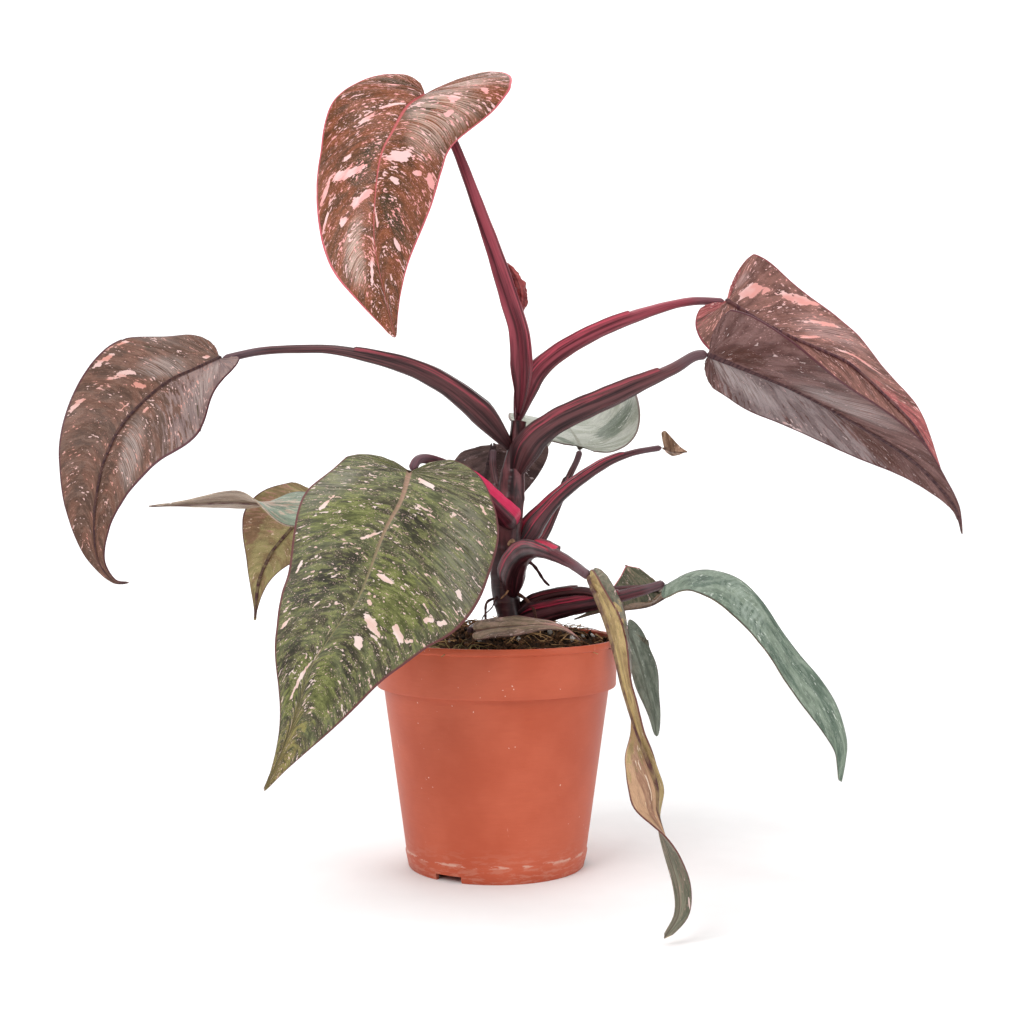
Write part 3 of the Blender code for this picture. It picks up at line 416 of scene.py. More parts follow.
def columns(read, count):
    """Stack what a function returns for each axis."""
    return np.column_stack([read(axis) for axis in range(count)])


def unit(vectors):
    """Scale each vector to length one."""
    return vectors / np.linalg.norm(vectors, axis=-1, keepdims=True)


def spread(values, shares):
    """Read a list of evenly spaced values or points at the given shares of the way along."""
    values = np.array(values, dtype=float)
    stations = np.linspace(0, 1, len(values))
    if values.ndim == 1:
        return np.interp(shares, stations, values)
    return columns(lambda axis: np.interp(shares, stations, values[:, axis]), values.shape[1])


def smooth_spread(values, shares):
    """Read a short list of evenly spaced points along the smooth curve through them."""
    guide = with_ends(values)
    reached = np.clip(shares, 0, 1) * (len(values) - 1)
    number = np.minimum(reached.astype(int), len(values) - 2)
    four = (guide[number + ahead] for ahead in range(4))
    return bend(*four, (reached - number)[:, None])


print("a path of 5 points:", smooth_path([(0, 0, 0), (10, 0, 5)], 5).round(1).tolist()[2])


# %% The grid as a pattern
# The millimetres that one unit of a UV map stands for.
UV_UNIT = 100


def pattern(name, across, along):
    """Add a grid and return it with each point's x and y, both from -1 to 1."""
    bpy.ops.object.select_all(action="DESELECT")
    bpy.ops.mesh.primitive_grid_add(x_subdivisions=across, y_subdivisions=along, size=2)
    piece = bpy.context.object
    piece.name = name
    flat = np.empty(len(piece.data.vertices) * 3)
    piece.data.vertices.foreach_get("co", flat)
    flat = flat.reshape(-1, 3)
    return piece, flat[:, 0].copy(), flat[:, 1].copy()


def place_points(piece, points, u, v):
    """Move the grid's points into place, in millimetres, and keep u and v as its UV map."""
    piece.data.vertices.foreach_set("co", (points * MM).ravel())
    corners = np.empty(len(piece.data.loops), dtype=np.int32)
    piece.data.loops.foreach_get("vertex_index", corners)
    uv = piece.data.uv_layers[0] if piece.data.uv_layers else piece.data.uv_layers.new()
    uv.name = "veins"
    uv.data.foreach_set("uv", np.column_stack([u, v])[corners].ravel())
    piece.data.update()


def note(piece, name, values):
    """Keep one number for each point as an attribute that materials can read."""
    layer = piece.data.attributes.new(name, "FLOAT", "POINT")
    layer.data.foreach_set("value", np.asarray(values, dtype=float))


def merge_points(piece, fill=False):
    """Merge doubled points, and close open ends if asked."""
    choose(piece)
    mode("EDIT")
    bpy.ops.mesh.select_all(action="SELECT")
    bpy.ops.mesh.remove_doubles(threshold=0.000002)
    if fill:
        bpy.ops.mesh.fill_holes(sides=0)
        bpy.ops.mesh.select_all(action="SELECT")
        bpy.ops.mesh.normals_make_consistent(inside=False)
    mode("OBJECT")


print("pattern helpers ready")


# %% A tube on the grid
TUBE_STATIONS = 400


def closed_ends(share):
    """Return 0 at a tube's two ends, where it closes, and 1 between them."""
    return (share > 0.001) & (share < 0.999)


def tube(name, path, radius, crown, sides, rows):
    """Wrap the grid round a path; radius(share, degrees) says how far out each point lies."""
    piece, x, y = pattern(name, sides, rows)
    share = (y + 1) / 2
    degrees = 180 * x
    dense = smooth_path(path, TUBE_STATIONS)
    tangents = unit(np.gradient(dense, axis=0))
    crowns = np.zeros_like(dense)
    carried = np.array(crown, dtype=float)
    for row in reversed(range(TUBE_STATIONS)):
        carried = carried - carried.dot(tangents[row]) * tangents[row]
        carried = carried / np.linalg.norm(carried)
        crowns[row] = carried
    flanks = np.cross(tangents, crowns)
    centre, up, flank = (spread(values, share) for values in (dense, crowns, flanks))
    turn = np.radians(degrees)
    reach = radius(share, degrees)[:, None]
    points = centre + reach * (np.cos(turn)[:, None] * up + np.sin(turn)[:, None] * flank)
    place_points(piece, points, x / 2 + 0.5, share)
    merge_points(piece, fill=True)
    bpy.ops.object.shade_smooth_by_angle(angle=math.radians(50))
    return piece


print("tube helper ready")

# %% [markdown]
# ## A leaf blade
#
# A philodendron blade is a heart with a long point: two rear lobes, a midrib, and side veins
# that leave the midrib and run out to the margin. The grid's y becomes the side vein that a
# point lies on, from the notch round the rear lobe to the tip, and its x the share of the way
# out along that vein. The sheet then follows its solid's midrib, halves and waves.
#
# The sheet bulges softly between the side veins and sinks along the midrib. It is only a skin,
# so the Solidify modifier gives it its thickness downwards; a weight per point makes it thick
# along the midrib, where a keel stands out below.

# %% The outline of a half and the way its sheet turns
OUTLINE = ((0.00, -0.05, 0.16), (0.00, -0.08, 0.40), (0.00, -0.05, 0.70), (0.00, 0.05, 0.92),
           (0.04, 0.19, 1.00), (0.12, 0.34, 0.92), (0.24, 0.50, 0.72), (0.38, 0.65, 0.48),
           (0.56, 0.79, 0.25), (0.76, 0.91, 0.09), (1.00, 1.00, 0.00))
WIDEST = 0.19
RIM_OF_BLADE = 0.7
KEEL = 1.3
SOFT_NOTCH = 0.08


def blade_surface(plan, along, across, side):
    """Return the points and upward directions of a blade at flat places on one half."""
    soft = (along + SOFT_NOTCH) ** 2 / (4 * SOFT_NOTCH)
    inside = np.clip(np.where(np.abs(along) < SOFT_NOTCH, soft, along), 0, 1)
    dense = smooth_path(plan["midrib"], 200)
    ahead = unit(spread(unit(np.gradient(dense, axis=0)), inside))
    spine = spread(dense, inside) + (along - inside)[:, None] * length_of(dense) * ahead
    part = plan["left"] if side < 0 else plan["right"]
    chord = smooth_spread(part["reach"], inside)
    width = np.linalg.norm(chord, axis=1)
    out = chord / width[:, None]
    up = unit(side * np.cross(ahead, out))
    arc = np.radians(spread(part["curl"], inside)) + 0.001
    turn = arc * (across - 0.5)
    sideways = width * (np.sin(turn) + np.sin(arc / 2)) / (2 * np.sin(arc / 2))
    rise = width * (np.cos(arc / 2) - np.cos(turn)) / (2 * np.sin(arc / 2))
    height, count, phase = plan.get("waves", (1.0, 2.5, 0.0))
    rise = rise + height * across ** 2 * np.sin(2 * np.pi * (count * along + phase + 0.2 * side))
    points = spine + sideways[:, None] * out + rise[:, None] * up
    return points, np.cos(turn)[:, None] * up - np.sin(turn)[:, None] * out


def margin(plan, row, side):
    """Return where the side vein of each row starts, and how far along and across it ends."""
    start, along, across = spread(smooth_path(OUTLINE, 400), row).T
    start = np.where(start < 0.012, 0, np.clip(start, 0, 1))
    along = np.where(along < 0, along * plan["left" if side < 0 else "right"]["lobe"], along)
    pointed = along > WIDEST
    across = np.where(pointed, np.maximum(across, 0) ** plan.get("slim", 1.0), across)
    along = np.where(pointed, start + (along - start) * plan.get("lean", 1.0), along)
    return start, along, across


def half(reach, curl=(0, 0), lobe=1.0):
    """Describe one half: its way out, how it turns up, and the size of its rear lobe."""
    return {"reach": reach, "curl": curl, "lobe": lobe}


print("outline of", len(OUTLINE), "points")


# %% One blade from a grid
# The way round the edge against the midrib's length, the gap between side veins, and how far the
# sheet bulges between them.
ROUND_THE_EDGE = 1.25
VEIN_GAP = 11.0
QUILT = 0.35


def midrib_length(plan):
    """Return the length of a leaf's midrib."""
    return length_of(smooth_path(plan["midrib"], 50))


def areas(plan, kind, row, share, side):
    """Return how deep each point lies in one of the leaf's areas of a kind, 0 to 1."""
    length = midrib_length(plan)
    depth = np.zeros_like(row)
    for own_side, row_in, share_in, row_out, share_out, width in plan.get(kind, ()):
        middle = (share_in + share_out) / 2
        half_way = abs(share_out - share_in) / 2
        line = row_in + (row_out - row_in) * (share - share_in) / (share_out - share_in)
        apart = np.hypot((row - line) * length * ROUND_THE_EDGE / width, (share - middle) / half_way)
        depth = np.maximum(depth, np.clip(1.5 - apart, 0, 1) * (side == own_side))
    return depth


def make_blade(name, plan):
    """Make one leaf blade on the midrib of its solid."""
    across, along = plan.get("fine", (64, 100))
    piece, x, y = pattern("leaf_" + name, across, along)
    row = (1 - y) / 2
    share = np.abs(x) ** 1.4
    points, normals, ridge = (np.zeros((len(x), 3)) for _ in range(3))
    for side in (-1, 1):
        start, end, full = margin(plan, row, side)
        spine, up = blade_surface(plan, start, np.zeros_like(start), side)
        ridge += up / 2
        own = (x * side > 0) | ((side > 0) & (x == 0))
        place, up = blade_surface(plan, start + (end - start) * share, full * share, side)
        points[own] = place[own]
        normals[own] = up[own]
    out = np.linalg.norm(points - spine, axis=1)
    blend = np.clip(out / 3, 0, 1)[:, None]
    normals = unit(blend * normals + (1 - blend) * unit(ridge))
    start = margin(plan, row, 1)[0]
    leaning = np.clip((row - 0.25) / 0.25, 0, 1)
    vein = row + plan.get("combed", 0.13) * leaning * (1 - (1 - share) ** 2)
    travelled = vein * midrib_length(plan) * ROUND_THE_EDGE
    bulge = np.abs(np.sin(np.pi * travelled / VEIN_GAP)) ** 0.8
    quilt = QUILT * bulge * np.clip(out / 6, 0, 1) * np.clip((1 - share) * 6, 0.3, 1)
    groove = 0.5 * np.exp(-(out / 1.3) ** 2) * (1 - 0.7 * start)
    points = points + normals * (RIM_OF_BLADE / 2 + quilt - groove)[:, None]
    place_points(piece, points, np.sign(x) * out / UV_UNIT, travelled / UV_UNIT)
    note(piece, "edge", share)
    note(piece, "rib", out / (0.3 + 0.85 * (1 - start) ** 1.2))
    for kind in ("splash", "deep", "sheen", "vivid"):
        note(piece, kind, areas(plan, kind, row, share, np.where(x < 0, -1, 1)))
    zones = plan.get("zone", ((0, 0), (0, 0)))
    note(piece, "zone", np.where(x < 0, spread(zones[0], row), spread(zones[1], row)))
    note(piece, "vein_bulge", bulge)
    keel = piece.vertex_groups.new(name="keel")
    full_depth = RIM_OF_BLADE + plan.get("keel", KEEL)
    depth = RIM_OF_BLADE + (full_depth - RIM_OF_BLADE) * (1 - start) ** 0.7 * np.exp(-(out / 1.1) ** 2)
    for number, weight in enumerate(depth / full_depth):
        keel.add((number,), float(weight), "REPLACE")
    merge_points(piece)
    for finish in plan["finish"]:
        piece.data.materials.append(finish)
    apply(piece, "SOLIDIFY", thickness=full_depth * MM, offset=-1, vertex_group="keel",
          thickness_vertex_group=0.0, use_rim=True, material_offset=1, material_offset_rim=1)
    piece.vertex_groups.clear()
    merge_points(piece)
    bpy.ops.object.shade_smooth_by_angle(angle=math.radians(60))
    join_plant(piece, plan["slot"], "blade_" + name)
    return piece


print("blade helper ready")

# %% [markdown]
# ## A leaf's finish
#
# Pink princess leaves are green or brown with pink where a line of cells has no chlorophyll. The
# lines run outward with the veins, so the pink comes as splashes and flecks that are stretched
# along the side veins. The blade's UV map holds the way out from the midrib and the way round,
# in tenths of a metre, so a noise squeezed one way and stretched the other follows the veins on
# every leaf. Large splashes are listed one by one and roughened by noise; small ones come from
# noise alone. The underside is duller and its midrib is dark.

# %% The leaf painter
def leaf_finish(name, seed, base, second, fleck, rib, amount, light=None, contrast=0.6, flow=(1, 1),
                zone=None, deep=None, sheen=None, vivid=None, edge=None, gloss=0.4, speck=0.5,
                rib_width=1.0, rib_tip=None):
    """Return a leaf finish: base colours, flecks along the veins, midrib, margin, areas and a painted sheen
    of pale highlight streaks.
    """
    paint = Painter(name)
    place = paint.veins()

    def grain(out, along, detail=2.0, roughness=0.5, number=0):
        """Return a noise of so many waves in a tenth of a metre, outwards and along."""
        return paint.noise(place, (out * flow[0], along * flow[1], 1), detail, roughness,
                           (3.7 * seed + number, 5.3 * seed + number, 0))

    cloud = grain(5, 13, 3)
    patch = grain(10, 40, 4, 0.62)
    streak = grain(18, 66, 3, 0.6, 1)
    fine = grain(95, 170, 2, 0.6, 2)
    mottled = paint.step(cloud, 0.44, 0.56)

    def area(kind):
        """Return one kind of area with a border that follows the veins."""
        return paint.step(paint.plus(paint.read(kind), paint.about_half(patch, 2.2)), 0.3, 0.6)

    colour = paint.mix(mottled, base, second)
    if zone:
        colour = paint.mix(area("zone"), colour, paint.mix(mottled, *zone))
    if vivid:
        colour = paint.lay(colour, vivid, area("vivid"), 0.85)
    if deep:
        colour = paint.lay(colour, deep, area("deep"), 0.8)
    shade = paint.mix(0.5, colour, BLACK)
    bright = paint.mix(0.4, colour, light or fleck)
    for value, low, high, tone, share in (
            (patch, 0.535, 0.555, bright, contrast), (patch, 0.465, 0.44, shade, contrast),
            (streak, 0.46, 0.38, shade, 0.6 * contrast), (streak, 0.55, 0.62, bright, 0.6 * contrast),
            (fine, 0.47, 0.38, shade, 0.4), (paint.read("vein_bulge"), 0.25, 0.0, shade, 0.4)):
        colour = paint.lay(colour, tone, paint.step(value, low, high), share)
    # Painted sheen: pale streaks laid into the colour where the glossy blade reflects the lamps.
    if sheen:
        hair = paint.step(grain(5, 150, 3, 0.6, 8), 0.36, 0.62)
        painted_sheen_mask = paint.times(paint.step(paint.read("sheen"), 0.0, 1.0), hair)
        colour = paint.lay(colour, sheen, painted_sheen_mask, 0.7)
    dust = paint.step(grain(90, 170, 2, 0.6, 3), 0.60, 0.63)
    drifts = paint.step(grain(12, 26, 2, 0.5, 4), 0.62 - 0.2 * speck, 0.68 - 0.2 * speck)
    colour = paint.lay(colour, fleck, paint.times(dust, drifts), 0.5)
    gathered = paint.about_half(grain(7, 16, 2, 0.5, 9), 0.55)
    small_level = 0.735 - 0.14 * amount
    small = paint.plus(grain(30, 84, 2, 0.5, 5), gathered)
    small = paint.times(paint.step(small, small_level, small_level + 0.015), 0.9)
    large_level = 0.79 - 0.18 * amount
    large = paint.step(grain(11, 36, 5, 0.68, 6), large_level, large_level + 0.008)
    splash = paint.read("splash")
    torn = paint.plus(splash, paint.about_half(grain(16, 44, 3, 0.5, 7), 2.6))
    wide = paint.times(paint.step(torn, 0.44, 0.47), paint.step(splash, 0.02, 0.1))
    pink = paint.calc("MAXIMUM", paint.calc("MAXIMUM", small, large), wide)
    rib_reach = paint.read("rib")
    pink = paint.times(pink, paint.step(rib_reach, 0.6, 1.2))
    pale = paint.mix(paint.step(cloud, 0.4, 0.6), fleck, paint.mix(0.3, fleck, WHITE))
    colour = paint.lay(colour, pale, pink, 0.95)
    if rib_tip:
        way = paint.add("SeparateXYZ", (place,), output=1)
        rib = paint.mix(paint.step(way, 0.0, 0.35), rib, rib_tip[0])
        rib = paint.mix(paint.step(way, 0.6, 1.5), rib, rib_tip[1])
    on_rib = paint.step(rib_reach, 1.5 * rib_width, 0.7 * rib_width)
    rib = paint.mix(paint.step(streak, 0.62, 0.4), rib, paint.mix(0.35, rib, base))
    colour = paint.mix(on_rib, colour, rib)
    if edge:
        colour = paint.mix(paint.step(paint.read("edge"), 0.965, 0.985), colour, edge)
    rough = paint.plus(paint.about_half(streak, 0.3), gloss)
    pores = paint.plus(paint.times(fine, 0.5), patch)
    return paint.finish(colour, rough, pores, 0.0003, 0.22)


print("leaf painter ready")

# %% [markdown]
# ## The fifteen leaves
#
# Each leaf is a row in this table: its stalk's path, thickness and sheath, then its midrib from
# the stalk to the tip and its two halves, left and right as seen from above with the tip hanging
# down. They are the same numbers as the solids have.

# %% The leaves' table
LEAVES = {
    "top": dict(
        stalk=[(11, 0, 219), (13, -3, 236), (12, -7, 258), (7, -10, 275), (0, -11, 296), (-8, -11, 318),
            (-19, -11, 347), (-27, -12, 363), (-33, -16, 371)],
        radii=(3.8, 4.2, 4.0, 3.2, 2.4, 2.0), sheath=0.3, wing=0.35, fade=0.4,
        crown=(-0.6, -1, 0), tint="crimson",
        midrib=[(-34, -19, 372), (-42, -28, 364), (-48, -36, 351), (-53, -43, 338), (-55, -50, 319),
            (-55, -56, 297), (-51, -60, 276), (-45, -62, 252)],
        left=half([(-41, -8, 3), (-35, 20, -6), (-33, 15, -13), (-33, 5, -23), (-25, 5, -25)],
            (-40, -30, -20)),
        right=half([(50, -4, 2), (44, 6, 2), (31, 12, 0), (30, 15, -2), (30, 18, -4), (29, 18, -5),
            (25, 16, -6), (20, 15, -8), (15, 12, -10)], (-30, -30, -20), lobe=1.5),
        slim=0.7),
    "left": dict(
        stalk=[(8, 0, 201), (1, -3, 210), (-10, -6, 222), (-27, -6, 235), (-47, -4, 244), (-77, 0, 251),
            (-97, 3, 252), (-117, 5, 251), (-136, 6, 247)],
        radii=(5.0, 5.0, 4.6, 3.4, 2.2, 2.0, 2.0), sheath=0.58, tint="maroon",
        midrib=[(-137, 6, 247), (-148, 5, 242), (-161, 4, 236), (-173, 2, 226), (-184, 0, 213),
            (-191, -3, 197), (-194, -5, 182), (-195, -7, 168), (-193, -9, 150), (-185, -11, 139),
            (-177, -12, 138)],
        left=half([(3, -22, -16), (19, -18, -25), (23, -14, -21), (21, -13, -13), (16, -10, -3),
            (2, -4, 8)], (30, 0, 0)),
        right=half([(-23, 18, 15), (-26, 5, 21), (-30, 8, 19), (-32, 5, 14), (-28, 3, 6), (-4, 0, -8)],
            (30, 0, 0), lobe=0.4),
        slim=0.6, lean=0.8),
    "right_upper": dict(
        stalk=[(10, 2, 215), (17, 6, 236), (29, 8, 249), (51, 12, 262), (77, 16, 272), (97, 18, 277),
            (115, 20, 277)],
        radii=(4.4, 4.4, 4.0, 3.4, 2.2, 1.9), sheath=0.62, tint="crimson",
        midrib=[(116, 20, 277), (133, 23, 267), (149, 25, 259), (166, 27, 252), (180, 28, 245),
            (199, 29, 228), (213, 29, 213), (224, 28, 191), (231, 27, 172)],
        left=half([(18, 18, 31), (13, 26, 25), (14, 28, 15), (12, 22, 19), (8, 15, 10)], (20, 0, 0),
            lobe=0.25),
        right=half([(-17, -14, -26), (-12, -18, -22), (-12, -16, -22), (-12, -12, -18), (-8, -6, -10)],
            (20, 0, 0), lobe=0.8),
        slim=0.8),
    "right_lower": dict(
        stalk=[(9, -1, 188), (17, -6, 205), (27, -8, 214), (38, -10, 220), (56, -12, 228), (69, -13, 234),
            (85, -14, 241), (95, -14, 247), (102, -14, 248)],
        radii=(5.8, 5.6, 5.4, 4.8, 3.0, 2.3), sheath=0.78, tint="maroon",
        midrib=[(103, -14, 248), (121, -14, 241), (143, -13, 232), (164, -11, 221), (185, -8, 209),
            (202, -5, 198), (215, -2, 186), (225, 0, 174), (229, 2, 161)],
        left=half([(10, -16, 26), (7, -28, 11), (6, -28, 10), (10, -18, 13), (6, -10, 6)], (30, 0, 0),
            lobe=0.25),
        right=half([(5, 20, -19), (-8, 22, -14), (-9, 18, -16), (-11, 14, -15), (-6, 8, -8)], (0, 0, 0),
            lobe=0.3),
        slim=0.8),
    "front": dict(
        stalk=[(8, 0, 164), (5, -11, 169), (-2, -24, 177), (-14, -42, 189), (-26, -58, 196),
            (-34, -66, 197), (-37, -71, 192)],
        radii=(4.4, 4.4, 3.8, 2.4, 2.0), sheath=0.74, tint="crimson",
        midrib=[(-38, -73, 191), (-41, -82, 179), (-48, -88, 165), (-58, -95, 138), (-66, -97, 127),
            (-72, -98, 118), (-79, -99, 106), (-87, -97, 81), (-99, -94, 54)],
        left=half([(-34, 12, 7), (-36, 8, 16), (-32, 8, 14), (-20, 5, 9), (-5, 0, 5)], (-30, -20, 0),
            lobe=0.3),
        right=half([(42, 10, -15), (46, 10, -20), (47, 8, -14), (46, 5, -14), (30, 5, -14)], (-30, -20, 0)),
        slim=0.8),
    "left_back": dict(
        stalk=[(3, 2, 146), (-14, 10, 163), (-33, 18, 175), (-59, 24, 182), (-80, 25, 184), (-89, 25, 179)],
        radii=(4.0, 3.4, 2.4, 1.8, 1.7), sheath=0.5, tint="maroon",
        midrib=[(-90, 25, 178), (-97, 25, 172), (-103, 26, 164), (-110, 27, 156), (-115, 27, 149),
            (-121, 28, 135), (-123, 28, 116)],
        left=half([(11, -4, -15), (17, -4, -11), (15, -4, -2), (9, 0, -2)], lobe=0.3),
        right=half([(-17, 6, 10), (-24, 2, 12), (-17, 5, 8), (-11, 0, 2)], lobe=0.3)),
    "left_flat": dict(
        stalk=[(3, 0, 150), (-13, -5, 165), (-32, -6, 172), (-57, -4, 175), (-79, -3, 175)],
        radii=(3.8, 3.2, 2.2, 1.8, 1.6), sheath=0.5, tint="maroon",
        midrib=[(-81, -3, 175), (-96, -5, 175), (-109, -7, 176), (-122, -9, 177), (-134, -10, 177),
            (-148, -10, 176), (-168, -10, 175)],
        left=half([(0, 16, 4), (0, 16, 5), (0, 16, -5), (0, 16, -5), (0, 10, -3)]),
        right=half([(0, -15, -8), (0, -14, -8), (0, -15, 7), (0, -15, 7), (0, -10, 4)])),
    "right_droop": dict(
        stalk=[(8, 0, 118), (31, -6, 125), (50, -10, 129), (69, -13, 134), (81, -16, 138)],
        radii=(5.2, 5.0, 4.2, 2.8, 2.0), sheath=0.7, tint="crimson",
        midrib=[(82, -17, 138), (93, -20, 144), (103, -24, 145), (115, -29, 141), (125, -33, 131),
            (134, -36, 117), (142, -38, 106), (151, -41, 95), (158, -43, 83), (162, -45, 68),
            (161, -47, 58), (159, -48, 49)],
        left=half([(-2, -8, -7), (-11, -12, -12), (-14, -9, -9), (-24, -6, -18), (-20, -4, -10)], lobe=0.2),
        right=half([(-2, 14, -6), (-4, 16, -8), (-4, 16, -8), (-4, 14, -6), (-4, 8, -4)], lobe=0.2),
        slim=0.5, lean=0.6),
    "front_hang": dict(
        stalk=[(7, 0, 128), (8, -6, 136), (9, -12, 144), (12, -20, 151), (17, -32, 155), (23, -48, 155),
            (33, -66, 151), (41, -86, 146)],
        radii=(5.0, 4.8, 4.4, 3.4, 2.4, 2.0), sheath=0.66, tint="maroon",
        midrib=[(42, -89, 145), (48, -98, 129), (52, -105, 115), (55, -110, 101), (59, -115, 87),
            (63, -118, 75), (67, -121, 61), (67, -124, 51), (71, -128, 37), (75, -131, 23), (75, -134, 12),
            (69, -136, 3)],
        left=half([(4, -9, 0), (5, -10, 0), (4, -11, 0), (3, -11, 0), (4, -9, 0), (3, -6, 0), (4, 0, 0),
            (5, 6, 0), (-2, 8, 0), (-4, 6, 0), (-4, 4, 0), (-4, 4, 0)], lobe=0.4),
        right=half([(8, 9, 0), (9, 11, 0), (8, 11, 0), (6, 12, 0), (1, 13, 0), (-4, 11, 0), (-14, 5, 0),
            (-16, -8, 0), (3, -11, 0), (11, -6, 0), (12, -4, 0), (10, -4, 0)], lobe=0.4),
        slim=0.3, lean=0.3),
    "right_hang": dict(
        stalk=[(9, 1, 124), (26, -2, 131), (43, -14, 134), (55, -22, 129), (61, -28, 120)],
        radii=(3.0, 2.6, 2.0, 1.6), sheath=0.5, tint="maroon",
        midrib=[(62, -31, 118), (65, -34, 110), (68, -36, 100), (71, -37, 88), (74, -37, 76),
            (75, -37, 68)],
        left=half([(-5, 3, 0), (-6, 4, 0), (-5, 3, 0)]),
        right=half([(6, 4, 0), (8, 3, 0), (8, 2, -2), (6, 2, -2)]),
        slim=0.4, lean=0.6),
    "back": dict(
        stalk=[(6, 2, 140), (22, 20, 157), (30, 32, 172), (36, 40, 187), (41, 44, 197), (43, 45, 203)],
        radii=(3.0, 2.6, 2.0, 1.7, 1.6), sheath=0.8, tint="maroon",
        midrib=[(43, 46, 205), (41, 58, 210), (37, 78, 217), (33, 100, 219), (29, 122, 213),
            (26, 140, 202)],
        left=half([(33, -4, 14), (34, 0, 20), (26, 0, 6), (16, 0, 0)], (80, 100, 0, 0)),
        right=half([(-24, 6, 5), (-34, 0, 6), (-26, 0, 2), (-14, 0, 0)], lobe=0.3)),
    "back_left": dict(
        stalk=[(6, 2, 158), (4, 12, 172), (0, 22, 184), (-2, 30, 195), (-2, 34, 203)],
        radii=(3.4, 2.8, 2.0, 1.7), sheath=0.6, tint="maroon",
        midrib=[(-2, 36, 205), (-6, 40, 190), (-11, 43, 173), (-15, 44, 155), (-20, 44, 136)],
        left=half([(34, -2, 1), (20, -2, -6), (9, 0, -8), (5, 0, -4)], lobe=0.2),
        right=half([(-20, 6, -4), (-24, 4, -6), (-18, 2, -6), (-10, 0, -4)], lobe=0.2)),
    "right_tuck": dict(
        stalk=[(9, 1, 118), (25, 6, 127), (45, 6, 132), (66, 5, 134), (79, 5, 134), (84, 4, 132)],
        radii=(3.0, 2.6, 2.0, 1.6, 1.6), sheath=0.5, tint="maroon",
        midrib=[(84, 4, 131), (75, 4, 126), (63, 4, 124), (52, 4, 123), (38, 4, 119)],
        left=half([(-16, 10, 15), (-10, 12, 19), (-8, 10, 16), (0, 6, 10)], lobe=0.2),
        right=half([(0, -8, 3), (0, -7, 3), (0, -6, 2), (0, -5, 0)], lobe=0.4),
        lean=0.5, keel=0.5),
    "rim": dict(
        stalk=[(7, -2, 117), (0, -16, 119), (-9, -30, 119), (-12, -42, 118)],
        radii=(2.6, 2.0, 1.6, 1.5), sheath=0.4, tint="maroon",
        midrib=[(-9, -46, 118), (2, -48, 120), (14, -49, 121), (26, -49, 121), (34, -49, 118),
            (39, -49, 114)],
        left=half([(0, -6, -4), (0, -7, -4), (0, -5, -4)], lobe=0.4),
        right=half([(0, 6, 4), (0, 7, 4), (0, 5, 3)], lobe=0.4),
        waves=(0.5, 2.5, 0)),
    "withered": dict(
        stalk=[(8, 4, 151), (15, 6, 159), (21, 8, 168), (33, 12, 181), (53, 20, 195), (68, 25, 201),
            (84, 30, 204)],
        radii=(4.6, 4.6, 3.4, 2.8, 2.4, 1.6, 1.5), sheath=0.78, tint="maroon",
        midrib=[(85, 30, 204), (91, 31, 202), (97, 31, 202)],
        left=half([(-2, -3, 9), (-2, -3, 9)], (60, 60), lobe=0.3),
        right=half([(2, 6, -3), (2, 5, -2)], lobe=0.3),
        keel=0.3, waves=(0.3, 2.0, 0)),
}

print(len(LEAVES), "leaves")

# %% [markdown]
# ## Every leaf's two finishes
#
# The plant's leaves differ: the top ones are brown and pink, the old ones green, and some show
# only their grey or purple underside. Each leaf therefore gets a finish of its own for either
# side, in one table beside the geometry, with colours given as a screen shows them.

# %% Finishes, splashes and areas
PINK = (226, 158, 152)
DARK_RIB = (56, 34, 38)
NARROW = (3.0, 0.3)


def look(base, second, fleck, rib, amount=0.5, **more):
    """Put one face's colours and settings under their names."""
    return dict(base=base, second=second, fleck=fleck, rib=rib, amount=amount, **more)


